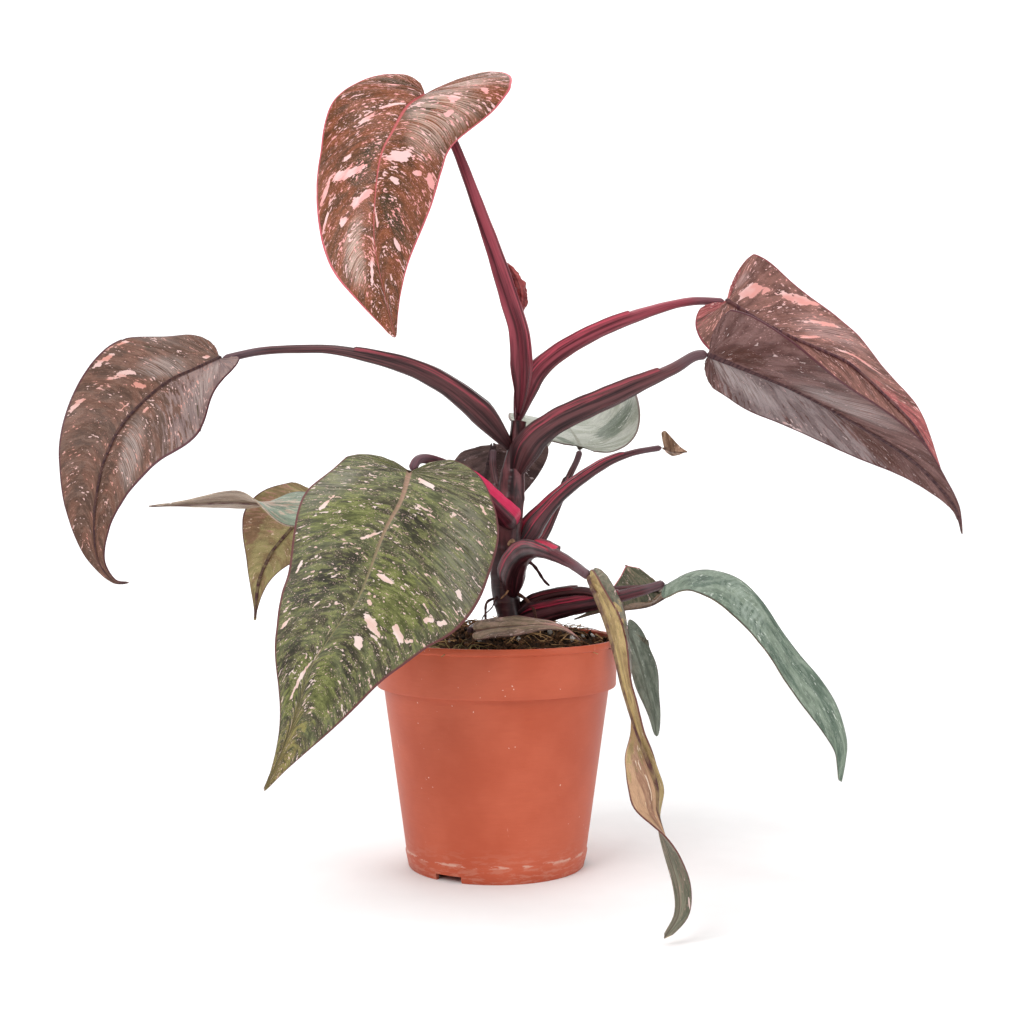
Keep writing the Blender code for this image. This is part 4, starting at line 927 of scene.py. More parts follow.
PLAIN_UPPER = look((96, 82, 58), (78, 68, 46), PINK, (150, 86, 84))
# Each sheen colour is a painted highlight, laid over the leaf in its sheen areas.
FINISHES = {
    "top": (
        look((124, 70, 42), (96, 60, 36), (236, 162, 158), (190, 92, 96), 0.8, light=(180, 116, 88),
             edge=(196, 96, 104), speck=1.2, deep=(60, 52, 32), sheen=(214, 186, 172), contrast=0.45,
             gloss=0.36, rib_width=0.8),
        look((108, 66, 62), (88, 54, 52), (205, 140, 138), (120, 40, 56), 0.4)),
    "left": (
        PLAIN_UPPER,
        look((112, 78, 64), (92, 66, 54), (206, 142, 128), DARK_RIB, 0.5, speck=0.3, edge=(84, 44, 50),
             rib_width=1.2, contrast=0.4, light=(166, 134, 120), sheen=(176, 160, 154), deep=(88, 60, 46),
             zone=((140, 118, 114), (118, 96, 94)))),
    "right_upper": (
        PLAIN_UPPER,
        look((142, 98, 88), (114, 76, 68), (228, 158, 150), (72, 38, 46), 0.66, speck=0.3,
             edge=(140, 62, 70), contrast=0.45, light=(176, 132, 126), sheen=(190, 156, 152), rib_width=1.1,
             zone=((176, 92, 92), (150, 74, 76)))),
    "right_lower": (
        PLAIN_UPPER,
        look((128, 94, 90), (100, 68, 64), (200, 158, 154), (58, 34, 40), 0.3, edge=(88, 48, 54),
             contrast=0.35, light=(150, 124, 122), sheen=(196, 182, 180), deep=(90, 56, 48), rib_width=1.1,
             zone=((150, 134, 134), (124, 106, 106)))),
    "front": (
        look((98, 100, 70), (84, 80, 60), (222, 186, 174), (112, 86, 88), 0.5, light=(156, 160, 96),
             edge=(100, 58, 58), rib_tip=((160, 124, 108), (126, 118, 84)), speck=0.8, rib_width=0.95,
             deep=(56, 52, 42), vivid=(100, 104, 58), sheen=(128, 126, 110), contrast=0.85, gloss=0.44,
             zone=((132, 116, 70), (104, 88, 58))),
        look((132, 116, 90), (112, 94, 74), (196, 160, 140), DARK_RIB, 0.4)),
    "left_back": (
        PLAIN_UPPER,
        look((158, 146, 98), (140, 118, 82), (206, 176, 140), (74, 46, 46), 0.3, edge=(96, 58, 54),
             contrast=0.3, deep=(122, 84, 64), zone=((190, 142, 128), (160, 112, 98)))),
    "left_flat": (
        look((132, 146, 126), (110, 124, 104), (196, 186, 168), (132, 114, 96), 0.2, flow=NARROW,
             contrast=0.4, edge=(96, 72, 64), zone=((184, 162, 144), (160, 138, 120))),
        look((176, 156, 138), (150, 130, 114), (190, 175, 160), (90, 64, 60), 0.2, flow=NARROW,
             contrast=0.4)),
    "right_droop": (
        look((124, 138, 122), (94, 110, 96), (190, 198, 184), (76, 86, 72), 0.25, edge=(70, 66, 58),
             speck=0.6, flow=NARROW, contrast=0.4, sheen=(156, 168, 156), gloss=0.34),
        look((126, 120, 98), (106, 98, 80), (180, 170, 150), (76, 54, 50), 0.2, flow=NARROW, contrast=0.4)),
    "front_hang": (
        look((124, 122, 104), (98, 98, 82), (196, 150, 138), (84, 70, 62), 0.3, edge=(86, 58, 56),
             flow=NARROW, contrast=0.4, gloss=0.34),
        look((184, 160, 110), (154, 130, 90), (206, 172, 136), (82, 50, 48), 0.25, edge=(104, 64, 58),
             flow=NARROW, contrast=0.4, zone=((184, 146, 116), (150, 112, 90)))),
    "right_hang": (
        look((108, 114, 102), (86, 92, 80), (150, 152, 138), (74, 76, 66), 0.2, edge=(86, 54, 52),
             flow=NARROW, contrast=0.4),
        look((92, 86, 72), (76, 72, 58), (150, 140, 120), DARK_RIB, 0.2, flow=NARROW)),
    # The back leaf's pale upper face is its own grey-green lightened by painted light, standing in for the
    # top box and backdrop lamp falling on it.
    "back": (
        look((176, 178, 166), (150, 154, 138), (204, 202, 190), (116, 116, 98), 0.2, edge=(122, 106, 98),
             contrast=0.3, deep=(66, 82, 58)),
        look((166, 166, 156), (140, 142, 130), (204, 202, 194), (124, 114, 104), 0.2, edge=(122, 106, 98),
             contrast=0.3, deep=(66, 82, 58))),
    "back_left": (
        look((112, 86, 80), (84, 62, 58), (150, 116, 112), (92, 58, 56), 0.2, contrast=0.4),
        look((108, 86, 82), (82, 64, 62), (150, 122, 120), (48, 30, 34), 0.2, contrast=0.4)),
    "right_tuck": (
        look((96, 96, 72), (74, 76, 54), (186, 148, 128), (110, 88, 74), 0.3, edge=(186, 100, 104),
             contrast=0.4),
        look((140, 118, 98), (116, 96, 78), (176, 146, 126), DARK_RIB, 0.25, contrast=0.4)),
    "rim": (
        look((150, 130, 106), (118, 98, 82), (206, 164, 152), (100, 74, 64), 0.4, edge=(122, 78, 74),
             flow=NARROW, zone=((196, 146, 136), (168, 120, 112))),
        look((100, 80, 70), (82, 64, 56), (160, 130, 120), DARK_RIB, 0.3, flow=NARROW)),
    "withered": (
        look((196, 150, 122), (116, 82, 58), (220, 186, 150), (60, 36, 24), 0.3),
        look((190, 150, 124), (124, 92, 70), (214, 184, 154), (60, 36, 24), 0.3)),
}
SLOTS = {"brown_pink": ("top",), "leaf_green": ("front",), "pale_green": ("left_flat", "back"),
         "grey_brown": ("left", "right_upper", "right_lower", "back_left", "rim"),
         "olive": ("left_back", "front_hang", "right_tuck"),
         "blue_green": ("right_droop", "right_hang"), "dry_brown": ("withered",)}
# Each area: the half it is on, the row and share of the way out where it starts and where it
# ends, and half its width in millimetres.
# The sheen areas are painted highlights: pale streaked patches where the glossy blade reflects the lamps.
EXTRAS = {
    "top": dict(
        fine=(120, 250),
        splash=((1, 0.61, 0.12, 0.51, 0.55, 3.0), (-1, 0.50, 0.76, 0.61, 0.24, 2.4),
            (-1, 0.52, 0.95, 0.50, 0.75, 1.8), (-1, 0.67, 0.45, 0.72, 0.08, 2.4),
            (-1, 0.41, 0.50, 0.42, 0.33, 1.3), (-1, 0.27, 0.52, 0.26, 0.38, 1.8),
            (-1, 0.27, 0.25, 0.29, 0.12, 1.6), (1, 0.36, 0.42, 0.36, 0.54, 1.5),
            (1, 0.39, 0.52, 0.38, 0.60, 1.6), (1, 0.30, 0.66, 0.32, 0.79, 1.6),
            (1, 0.55, 0.60, 0.52, 0.73, 1.5), (1, 0.51, 0.80, 0.50, 0.95, 2.4),
            (1, 0.64, 0.29, 0.62, 0.43, 1.4), (1, 0.75, 0.58, 0.74, 0.79, 1.5),
            (-1, 0.86, 0.20, 0.87, 0.50, 1.7), (-1, 0.65, 0.70, 0.67, 0.58, 1.5),
            (-1, 0.59, 0.97, 0.57, 0.83, 1.3), (-1, 0.49, 0.58, 0.51, 0.47, 1.3),
            (-1, 0.40, 0.28, 0.41, 0.05, 0.8), (1, 0.78, 0.02, 0.80, 0.14, 1.5)),
        deep=((-1, 0.59, 0.05, 0.59, 0.45, 9.0), (1, 0.44, 0.02, 0.40, 0.35, 7.0),
            (-1, 0.20, 0.2, 0.22, 0.8, 7.0), (1, 0.72, 0.1, 0.70, 0.8, 6.0)),
        sheen=((1, 0.42, 0.10, 0.40, 0.85, 14.0), (-1, 0.76, 0.35, 0.78, 0.85, 11.0),
            (1, 0.24, 0.2, 0.26, 0.7, 8.0))),
    "front": dict(
        fine=(120, 250),
        splash=((-1, 0.40, 0.77, 0.38, 0.68, 1.3), (-1, 0.50, 0.27, 0.51, 0.02, 0.8),
            (-1, 0.50, 0.92, 0.48, 0.85, 1.3), (-1, 0.81, 0.55, 0.81, 0.10, 1.8),
            (1, 0.59, 0.12, 0.55, 0.33, 1.2), (1, 0.66, 0.24, 0.63, 0.54, 1.8),
            (1, 0.59, 0.57, 0.58, 0.80, 1.4), (1, 0.69, 0.38, 0.67, 0.55, 1.6),
            (1, 0.57, 0.80, 0.56, 0.86, 1.4), (1, 0.52, 0.73, 0.51, 0.80, 1.1),
            (1, 0.65, 0.14, 0.64, 0.23, 1.0), (1, 0.33, 0.13, 0.33, 0.28, 1.0),
            (1, 0.43, 0.79, 0.43, 0.86, 0.9), (-1, 0.62, 0.59, 0.61, 0.52, 0.8),
            (-1, 0.61, 0.94, 0.61, 0.84, 1.0), (1, 0.30, 0.79, 0.31, 0.86, 0.9),
            (1, 0.50, 0.84, 0.49, 0.89, 1.1)),
        zone=((0, 0, 0, 0, 0, 1), (0, 0, 0, 0, 0, 1)),
        deep=((-1, 0.56, 0.10, 0.56, 0.90, 8.0), (-1, 0.30, 0.10, 0.28, 0.5, 7.0),
            (1, 0.44, 0.03, 0.42, 0.40, 6.0), (-1, 0.70, 0.55, 0.70, 1.0, 5.0),
            (1, 0.72, 0.3, 0.70, 0.8, 3.5)),
        vivid=((1, 0.60, 0.03, 0.55, 0.75, 13.0), (-1, 0.44, 0.15, 0.42, 0.8, 7.0),
            (-1, 0.80, 0.15, 0.80, 0.8, 9.0), (1, 0.80, 0.2, 0.78, 0.8, 8.0),
            (-1, 0.20, 0.3, 0.20, 0.7, 5.0)),
        sheen=((1, 0.36, 0.45, 0.42, 1.0, 14.0), (-1, 0.34, 0.6, 0.36, 1.0, 8.0))),
    "left": dict(
        fine=(80, 150),
        splash=((1, 0.445, 0.95, 0.42, 0.85, 2.4), (1, 0.475, 0.68, 0.46, 0.44, 2.0),
            (1, 0.505, 0.35, 0.52, 0.18, 1.6), (1, 0.58, 0.17, 0.61, 0.23, 1.4),
            (1, 0.33, 0.12, 0.33, 0.17, 1.4), (-1, 0.58, 0.12, 0.565, 0.18, 1.4),
            (1, 0.40, 0.97, 0.36, 0.90, 2.2), (1, 0.55, 0.95, 0.53, 0.80, 1.6)),
        zone=((1, 1, 0.6, 0, 0, 0), (0, 0, 0, 0, 0, 0)),
        deep=((1, 0.30, 0.3, 0.30, 0.9, 10.0), (1, 0.66, 0.3, 0.64, 0.9, 8.0)),
        sheen=((-1, 0.30, 0.1, 0.34, 0.8, 12.0), (1, 0.44, 0.05, 0.42, 0.5, 8.0),
            (-1, 0.62, 0.2, 0.62, 0.9, 10.0))),
    "right_upper": dict(
        fine=(80, 150),
        combed=0.0,
        splash=((-1, 0.33, 0.14, 0.34, 0.55, 3.4), (-1, 0.375, 0.60, 0.405, 0.96, 3.2),
            (-1, 0.60, 0.31, 0.62, 0.75, 1.6), (-1, 0.54, 0.08, 0.53, 0.33, 1.6),
            (-1, 0.24, 0.5, 0.25, 0.8, 1.8), (-1, 0.46, 0.5, 0.47, 0.85, 1.8)),
        zone=((0.9, 0.7, 0, 0, 0, 0, 0.5, 0.8, 0.3), (0.9, 0.7, 0, 0, 0, 0, 0, 0, 0)),
        sheen=((-1, 0.50, 0.3, 0.50, 0.9, 12.0), (-1, 0.24, 0.2, 0.26, 0.6, 8.0))),
    "right_lower": dict(
        fine=(80, 150),
        combed=0.0,
        splash=((1, 0.43, 0.90, 0.465, 0.98, 2.0),),
        sheen=((1, 0.34, 0.04, 0.40, 0.7, 13.0), (-1, 0.60, 0.10, 0.60, 0.9, 16.0)),
        deep=((-1, 0.38, 0.02, 0.38, 0.4, 9.0), (1, 0.72, 0.2, 0.72, 0.9, 9.0)),
        zone=((0, 0, 0, 0, 0, 0), (0, 0, 0.7, 0.7, 0, 0))),
    "back": dict(deep=((-1, 0.40, 0.30, 0.40, 0.88, 7.0), (1, 0.3, 0.1, 0.3, 0.5, 5.0))),
    "front_hang": dict(fine=(44, 150), zone=((0, 0, 0, 0, 0, 0, 0, 0), (0, 0, 0, 0, 0, 0.4, 1, 0.6))),
    "left_back": dict(
        deep=((-1, 0.4, 0.4, 0.4, 1.0, 8.0), (1, 0.5, 0.6, 0.5, 1.0, 8.0)),
        zone=((0, 0, 0, 0, 0, 0), (0, 0, 0.4, 0.1, 0, 0))),
    "left_flat": dict(fine=(44, 120), zone=((0, 0, 0, 0.4, 1, 1, 1), (0, 0, 0, 0.4, 1, 1, 1))),
    "right_droop": dict(
        fine=(52, 130),
        sheen=((1, 0.35, 0.1, 0.35, 0.9, 16.0), (-1, 0.55, 0.1, 0.55, 0.9, 14.0))),
    "rim": dict(zone=((1, 0.2, 0, 0, 0, 0.3, 1), (0.8, 0, 0, 0, 0, 0.6, 1))),
}
for slot, names in SLOTS.items():
    for name in names:
        LEAVES[name]["slot"] = slot
for seed, (name, plan) in enumerate(LEAVES.items()):
    plan.update(EXTRAS.get(name, {}))
    plan["finish"] = [leaf_finish("%s_%s" % (name, face), seed, **values)
                      for face, values in zip(("upper", "underside"), FINISHES[name])]
print(2 * len(FINISHES), "leaf finishes")

# %% Make the blades
for name, plan in LEAVES.items():
    piece = make_blade(name, plan)
    print(piece.name, len(piece.data.polygons), "faces")

# %% [markdown]
# ## The stalks
#
# A leaf stalk clasps the stem with a sheath, which runs up it as two thin wings with a groove
# between them, and ends in a free tip; past it the stalk is round and thin. The grid is wrapped
# round the path, with the wings and the groove raised by the angle from the crown. They are
# glossy and streaked lengthwise, the top ones crimson and the lower ones dark maroon, with wings
# of a bright pink.

# %% The stalks' finish
def stalk_finish(name, dark, light, wing_colour, wing_share):
    """Return a stalk's finish: lengthwise streaks, bright wings, painted shade in the groove and at the
    foot, a pale neck and small pale specks.
    """
    paint = Painter(name)
    streak = paint.noise(paint.veins(), (16, 1.6, 1), 4, 0.6)
    fine = paint.noise(paint.veins(), (60, 4, 1), 4, 0.6)
    colour = paint.mix(paint.step(streak, 0.36, 0.62), dark, light)
    colour = paint.lay(colour, wing_colour, paint.step(fine, 0.58, 0.72), 0.3)
    ragged = paint.plus(paint.read("wing"), paint.about_half(fine, 2.6))
    colour = paint.lay(colour, wing_colour, paint.step(ragged, 0.5, 1.1), wing_share)
    # Painted shade: the groove between the wings is darkened as if shade lay in it.
    colour = paint.lay(colour, dark, paint.read("groove"), 0.6)
    # Painted shade: the stalk darkens toward its foot, where it sits in the shade of the stem and the other
    # stalks.
    colour = paint.lay(colour, paint.mix(0.6, dark, BLACK), paint.read("shade"), 0.6)
    colour = paint.lay(colour, paint.mix(fine, dark, (128, 104, 112)), paint.read("neck"), 0.55)
    speck = paint.step(paint.noise(paint.place(), 900, 2), 0.70, 0.74)
    colour = paint.lay(colour, light, speck, 0.4)
    return paint.finish(colour, paint.plus(paint.times(fine, 0.25), 0.24), fine, 0.0002, 0.3)


STALK_FINISH = {
    "crimson": stalk_finish("crimson_stalk", (68, 12, 24), (150, 64, 76), (208, 78, 98), 0.8),
    "maroon": stalk_finish("maroon_stalk", (36, 15, 19), (98, 58, 60), (176, 72, 86), 0.7),
    "rosy": stalk_finish("rosy_sheath", (36, 14, 19), (94, 48, 54), (204, 58, 86), 0.8),
    "magenta": stalk_finish("magenta_sheath", (48, 18, 26), (96, 34, 46), (222, 40, 92), 1.0),
}
# The sheaths that look brighter than their stalks, and where the bright band of each lies: the
# degrees from the crown at its middle and its half width.
BRIGHT_SHEATHS = {"front": ("magenta", -35, 60), "front_hang": ("rosy", 0, 40),
                  "withered": ("rosy", 0, 40), "right_droop": ("rosy", 0, 40)}
print(len(STALK_FINISH), "stalk finishes")


# %% Make the stalks
# The degrees from the crown to a wing, and the shares of the way over which the ends taper.
WING_AT = 45
FOOT_TAPER = 0.16
END_TAPER = 0.02


def make_stalk(name, plan):
    """Make one leaf stalk with its winged sheath."""
    wing_height = plan.get("wing", 0.5)
    sheath_end = plan["sheath"]
    fade = plan.get("fade", 0.012)

    def winged(share):
        """Return 1 along the sheath and 0 past its free tip."""
        return np.clip(1 - (share - sheath_end) / fade, 0, 1)

    def radius(share, degrees):
        """Return the stalk's radius, with its wings, its groove, fine ribs and round ends."""
        turn = np.abs(degrees)
        wing = wing_height * winged(share) * 1.25 * np.exp(-((turn - WING_AT) / 17) ** 2)
        groove = wing_height * winged(share) * 0.75 * np.exp(-(turn / 22) ** 2)
        ends = np.sqrt(np.clip(share / FOOT_TAPER, 0, 1) * np.clip((1 - share) / END_TAPER, 0, 1))
        thick = spread(plan["radii"], share) * (1 + 0.2 * np.exp(-((share - 0.12) / 0.1) ** 2))
        ribs = 1 + 0.02 * np.sin(np.radians(degrees * 9)) + 0.015 * np.sin(60 * share)
        return thick * (1 + wing - groove) * ribs * ends

    piece = tube("petiole_" + name, plan["stalk"], radius, plan.get("crown", (0, 0, 1)), 40, 100)
    uv = np.empty(len(piece.data.loops) * 2)
    piece.data.uv_layers[0].data.foreach_get("uv", uv)
    corner = np.empty(len(piece.data.loops), dtype=np.int32)
    piece.data.loops.foreach_get("vertex_index", corner)
    around = np.zeros(len(piece.data.vertices))
    share = np.zeros(len(piece.data.vertices))
    around[corner] = uv[0::2] * 360 - 180
    share[corner] = uv[1::2]
    uv[1::2] *= length_of(smooth_path(plan["stalk"], 50)) / UV_UNIT
    piece.data.uv_layers[0].data.foreach_set("uv", uv)
    turn = np.abs(around)
    look, middle, half_width = BRIGHT_SHEATHS.get(name, (plan["tint"], 0, 0))
    band = np.exp(-((turn - 58) / 10) ** 2) * np.clip(share / 0.2, 0.15, 1)
    if half_width:
        band = np.maximum(band, np.clip(3 - 3 * np.abs(around - middle) / half_width, 0, 1.4))
    note(piece, "wing", winged(share) * band)
    # Where the painted shade of the groove lies.
    note(piece, "groove", winged(share) * np.exp(-(turn / 15) ** 2) * (half_width == 0))
    # Painted shade, strongest at the foot of the stalk by the stem.
    note(piece, "shade", np.clip(1 - share / 0.3, 0, 1) ** 2)
    note(piece, "neck", np.clip((share - 0.84) / 0.06, 0, 1))
    piece.data.materials.append(STALK_FINISH[look])
    join_plant(piece, plan["tint"], "stalk_" + name)
    return piece


for name, plan in LEAVES.items():
    piece = make_stalk(name, plan)
    print(piece.name, len(piece.data.polygons), "faces")

# %% [markdown]
# ## Stem, aerial roots and the new leaf
#
# The stem is a chain of short joints, each with a ring where a leaf once sat. Its radius is a
# short list along the path, and a sine that is raised to a power makes narrow rings. Aerial
# roots leave it at the nodes and grope for the soil. The newest leaf is still rolled up, dry and
# crinkled, behind the highest stalk.

# %% The stem's finish and the stem
bark = Painter("stem_bark")
place = bark.place()
streak = bark.noise(place, (260, 260, 40), 4, 0.6)
ring = bark.noise(place, (60, 60, 420), 4, 0.6)
# Painted shade: the bark is darker toward the soil, low on the stem under the stalk bases.
bark_with_painted_shade = bark.mix(bark.step(bark.height(), 0.13, 0.19), (60, 27, 31), (108, 58, 62))
colour = bark.mix(bark.step(streak, 0.35, 0.65), (30, 14, 17), bark_with_painted_shade)
colour = bark.lay(colour, (104, 72, 64), bark.step(ring, 0.60, 0.72), 0.3)
STEM_BARK = bark.finish(colour, bark.plus(bark.times(ring, 0.3), 0.2), ring, 0.0004, 0.35)

STEM_PATH = [(9, 0, 78), (9, 0, 104), (7, 0, 120), (4, 0, 134), (4, 0, 148), (5, 0, 163),
             (7, 0, 178), (8, 0, 192), (10, 0, 206), (11, 0, 217)]
STEM_RADII = (7.5, 7.5, 7.2, 6.6, 6.4, 6.6, 7.0, 6.4, 4.6, 3.8)
STEM_JOINTS = 11


def stem_radius(share, degrees):
    """Return the stem's radius, with a narrow ring at each joint."""
    rings = np.abs(np.cos(np.pi * STEM_JOINTS * share)) ** 14
    turn = np.radians(degrees)
    scars = 0.04 * np.sin(turn * 2 + 9 * share) + 0.03 * np.sin(turn * 5 - 20 * share)
    return spread(STEM_RADII, share) * (0.98 + 0.05 * rings + scars) * closed_ends(share)


stem = tube("stem_column", STEM_PATH, stem_radius, (0.3, -1, 0.2), 64, 260)
stem.data.materials.append(STEM_BARK)
join_plant(stem, "stem", "stem")
print("stem:", len(stem.data.polygons), "faces")

# %% The aerial roots
ROOTS = {
    "side": ([(6, -3, 152), (17, -6, 147), (23, -7, 139), (26, -7, 136)], 1.0, (70, 36, 40)),
    "left": ([(-1, -3, 130), (-5, -5, 127), (-5, -6, 116), (-4, -6, 106)], 0.7, (84, 52, 46)),
    "low": ([(9, -5, 133), (15, -8, 129), (19, -9, 122), (20, -9, 106)], 0.9, (96, 60, 50)),
    "stub": ([(6, -5, 156), (8, -9, 158), (9, -11, 155), (8, -12, 152)], 1.2, (176, 140, 110)),
    "tan": ([(4, -5, 138), (7, -8, 137), (5, -10, 133), (2, -11, 130)], 0.6, (160, 116, 84)),
    "thread": ([(0, -5, 131), (-2, -9, 126), (-6, -10, 122), (-8, -10, 117)], 0.4, (74, 42, 40)),
}
for name, (path, thick, tone) in ROOTS.items():
    bark = Painter("root_skin_" + name)
    grain = bark.noise(bark.place(), 700, 4)
    colour = bark.mix(bark.step(grain, 0.35, 0.65), tone, bark.mix(0.55, tone, BLACK))
    skin = bark.finish(colour, bark.plus(bark.times(grain, 0.3), 0.45), grain)

    def root_radius(share, degrees, thick=thick):
        """Taper the root, with small knobs along it."""
        knobs = 1 + 0.12 * np.sin(40 * share + np.radians(degrees) * 2)
        return thick * (1 - 0.4 * share) * knobs * closed_ends(share)

    root = tube("aerial_root_" + name, path, root_radius, (0.2, -1, 0.1), 14, 44)
    root.data.materials.append(skin)
    join_plant(root, "stem")
print(len(ROOTS), "aerial roots")


# %% The furled leaf
FURL_PATH = [(10, -3, 262), (11, -3, 268), (12, -4, 276), (11, -5, 283), (8, -6, 289), (5, -7, 293)]
FURL_RADII = (1.0, 2.0, 3.2, 3.0, 1.8, 0.6)


def furl_radius(share, degrees):
    """Return the furled leaf's radius, folded and crinkled."""
    around = np.radians(degrees)
    crinkle = (0.12 * np.sin(26 * share + 3 * around) + 0.1 * np.cos(44 * share - 2 * around)
               + 0.05 * np.sin(80 * share + 5 * around))
    return spread(FURL_RADII, share) * (1 + crinkle) * closed_ends(share)


furl = tube("furled_leaf", FURL_PATH, furl_radius, (0, -1, 0), 56, 150)
for name in ("wing", "groove", "shade", "neck"):
    note(furl, name, np.zeros(len(furl.data.vertices)))
furl.data.materials.append(stalk_finish("furled_red", (96, 26, 30), (164, 74, 72), (206, 130, 120), 0.0))
join_plant(furl, "crimson", "new_leaf")
print("furled leaf:", len(furl.data.polygons), "faces")

# %% [markdown]
# ## The soil
#
# Potting mix is peat and bark crumbs with threads of root and white perlite. The body of it is
# turned from the grid like the tubes: x goes round and y goes from the middle over the mound,
# down the wall and to the middle again below. A noise raises it. Then crumbs, perlite and
# threads are scattered, each shape modelled once and copied into one mesh.

# %% The mound
SOIL_EDGE = 57.1
SOIL_LOW = 5.9
SOIL_HEIGHT = 107
MOUND_RISE = 7
MOUND_TILT = 3
# The share of the way at which the top ends, how much of it the side takes, and where the floor
# starts.
TOP_ENDS = 0.8
SIDE_TAKES = 0.15
FLOOR_STARTS = 0.96
# How far down the side, then the radius and the height there: the wall steps in below the band.
SIDE = ((0.222, 56.3, 89.3), (0.296, 52.9, 85.2), (1, 42.2, SOIL_LOW))


def soil_top(radius, angle):
    """Return the height of the mound in millimetres, as the solid has it."""
    share = radius / SOIL_EDGE
    mound = MOUND_RISE * (1 - share ** 2) + MOUND_TILT * share * np.sin(angle)
    lumps = (np.sin(3 * angle + 1) * np.sin(radius / 5) + 0.7 * np.sin(7 * angle + radius / 4)
             + 0.5 * np.cos(11 * angle - radius / 3))
    return SOIL_HEIGHT + mound + lumps * np.minimum(1, 2 * share) * (1.1 - share)


mound, x, y = pattern("potting_mix", 150, 90)
angle = np.pi * x
way = (y + 1) / 2
on_top = way <= TOP_ENDS
radius = np.where(on_top, SOIL_EDGE * way / TOP_ENDS, SOIL_EDGE)
top = soil_top(radius, -angle)
drop = np.clip((way - TOP_ENDS) / SIDE_TAKES, 0, 1)
drops, radii, heights = zip(*SIDE)
radius = np.where(on_top, radius, np.interp(drop, (0, *drops), (SOIL_EDGE, *radii)))
radius = np.where(way > FLOOR_STARTS, radius * (1 - way) / (1 - FLOOR_STARTS), radius)
upper = top + (heights[0] - top) * drop / drops[0]
side = np.where(drop < drops[0], upper, np.interp(drop, drops, heights))
height = np.where(on_top, top, side)
points = np.column_stack([radius * np.cos(angle), -radius * np.sin(angle), height])
rough = np.array([noise.turbulence(Vector(point) * 0.22, 4, False) for point in points])
crust = np.clip((TOP_ENDS - way) / 0.04, 0, 1)
points[:, 2] += (rough - 0.6) * 2.6 * crust
place_points(mound, points, x, way)
merge_points(mound)
bpy.ops.object.shade_smooth()
print("mound:", len(mound.data.polygons), "faces")

# %% The mix's finish
mix = Painter("potting_mix")
place = mix.place()
lump = mix.noise(place, 380, 5, 0.7)
grit = mix.noise(place, 1500, 3, 0.7)
colour = mix.mix(mix.step(lump, 0.35, 0.7), (34, 22, 16), (98, 70, 48))
colour = mix.mix(mix.step(grit, 0.62, 0.72), colour, (140, 104, 74))
relief = mix.plus(lump, mix.times(grit, 0.4))
mound.data.materials.append(mix.finish(colour, 0.92, relief, 0.0018))
join_plant(mound, "soil", "soil")


def litter_finish(name, dark, light):
    """Return a dull, grainy finish for what lies in the soil."""
    paint = Painter(name)
    place = paint.place()
    grain = paint.noise(place, 900, 4, 0.7)
    piece_tone = paint.noise(place, 120, 2)
    colour = paint.mix(paint.step(piece_tone, 0.4, 0.6), dark, light)
    colour = paint.mix(paint.step(grain, 0.3, 0.6), paint.mix(0.45, colour, BLACK), colour)
    return paint.finish(colour, 0.88, grain, 0.0006, 0.25)


print("soil finishes ready")


# %% Crumbs, perlite and threads
CHANCE = np.random.default_rng(7)
THREAD_SIDES = 5
THREAD_RADIUS = 0.022


def model_points(add, **settings):
    """Add a primitive, read its points and faces, and remove it."""
    add(**settings)
    model = bpy.context.object
    points = np.array([vertex.co for vertex in model.data.vertices])
    faces = [tuple(face.vertices) for face in model.data.polygons]
    bpy.data.objects.remove(model)
    return points, faces


def turned_about(points, turns):
    """Turn points about the three axes, by radians."""
    for axis, turn in enumerate(turns):
        a, b = (axis + 1) % 3, (axis + 2) % 3
        first = points[:, a] * math.cos(turn) - points[:, b] * math.sin(turn)
        second = points[:, a] * math.sin(turn) + points[:, b] * math.cos(turn)
        points = points.copy()
        points[:, a], points[:, b] = first, second
    return points


def scatter(name, models, spots, finish):
    """Copy models to spots; each spot is a place, a size for each axis and turns."""
    points, faces, first = [], [], 0
    for number, (place, size, turns) in enumerate(spots):
        shape, shape_faces = models[number % len(models)]
        points.append(turned_about(shape * np.array(size), turns) + np.array(place))
        faces += [tuple(first + corner for corner in face) for face in shape_faces]
        first += len(shape)
    mesh = bpy.data.meshes.new(name)
    mesh.from_pydata((np.vstack(points) * MM).tolist(), [], faces)
    mesh.update()
    piece = bpy.data.objects.new(name, mesh)
    bpy.context.scene.collection.objects.link(piece)
    mesh.materials.append(finish)
    join_plant(piece, "soil")


def crumb_models():
    """Return a few angular crumbs, each a small ball with its points pushed in and out."""
    made = []
    for number in range(5):
        shape, faces = model_points(bpy.ops.mesh.primitive_ico_sphere_add, subdivisions=1, radius=1)
        x, y, z = shape.T
        push = 1 + 0.35 * np.sin(7.1 * number + 3 * x + 5 * y) * np.cos(4 * z)
        made.append((shape * push[:, None], faces))
    return made


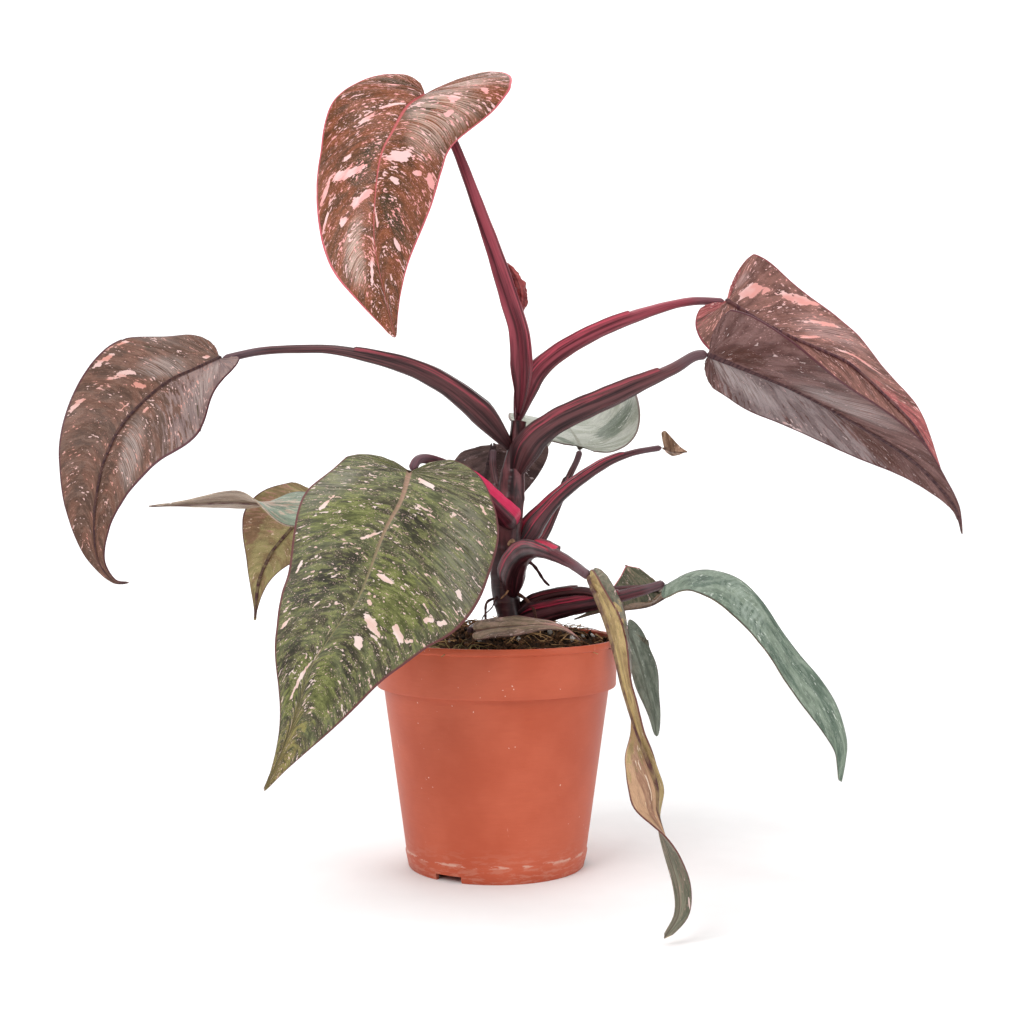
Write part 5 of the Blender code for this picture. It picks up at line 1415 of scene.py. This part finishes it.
def thread_models():
    """Return a few curled threads, each a thin tube with a point at either end."""
    made = []
    for number in range(6):
        steps = np.linspace(0, 1, 9)
        bend = 0.6 + 0.25 * number
        line = np.column_stack([steps - 0.5, 0.18 * np.sin(bend * 4 * steps + number),
                                0.22 * np.sin(bend * 3 * steps)])
        shape, faces = [line[0]], []
        for centre in line:
            for side in range(THREAD_SIDES):
                turn = 2 * math.pi * side / THREAD_SIDES
                shape.append(centre + THREAD_RADIUS * np.array([0, math.cos(turn), math.sin(turn)]))
        last = len(shape)
        shape.append(line[-1])
        for side in range(THREAD_SIDES):
            after = (side + 1) % THREAD_SIDES
            faces.append((0, 1 + after, 1 + side))
            faces.append((last, last - THREAD_SIDES + side, last - THREAD_SIDES + after))
            faces += [(ring + side, ring + after, ring + THREAD_SIDES + after, ring + THREAD_SIDES + side)
                      for ring in range(1, last - THREAD_SIDES, THREAD_SIDES)]
        made.append((np.array(shape), faces))
    return made


def spot(size, lift, flat, ring=(9, 56), arc=(0, 2 * math.pi)):
    """Return a place on the mound with a size and turns drawn by chance."""
    turn = CHANCE.uniform(*arc)
    far = math.sqrt(CHANCE.uniform((ring[0] / ring[1]) ** 2, 1)) * ring[1]
    place = (far * math.cos(turn), far * math.sin(turn), float(soil_top(far, turn)) + lift)
    size = np.array(size) * CHANCE.uniform(0.6, 1.4)
    return place, size, (CHANCE.uniform(-flat, flat), CHANCE.uniform(-flat, flat), CHANCE.uniform(0, 6.3))


CRUMBS = crumb_models()
THREADS = thread_models()
# Each kind: its name, its models, how many there are, then the size, lift and slant of one (for
# the moss also the ring and the arc that it lies in), and the name and colours of its finish.
LITTER = (
    ("bark_crumbs", CRUMBS, 420, ((1.7, 1.1, 0.8), 0.5, 1.5), "bark_crumb", (40, 25, 18), (112, 78, 52)),
    ("perlite", CRUMBS, 34, ((1.5, 1.2, 1.0), 1.1, 1.5), "perlite_grain", (226, 220, 212), (248, 246, 240)),
    ("fine_roots", THREADS, 150, ((13, 13, 8), 1.2, 0.35), "root_thread", (104, 70, 44), (200, 160, 112)),
    ("moss_strands", THREADS, 90, ((9, 11, 9), 2.0, 0.9, (42, 56), (3.2, 4.6)), "moss_thread",
     (104, 92, 54), (186, 168, 116)),
)
for name, models, count, where, skin, dark, light in LITTER:
    scatter(name, models, [spot(*where) for _ in range(count)], litter_finish(skin, dark, light))
    print(name, count)
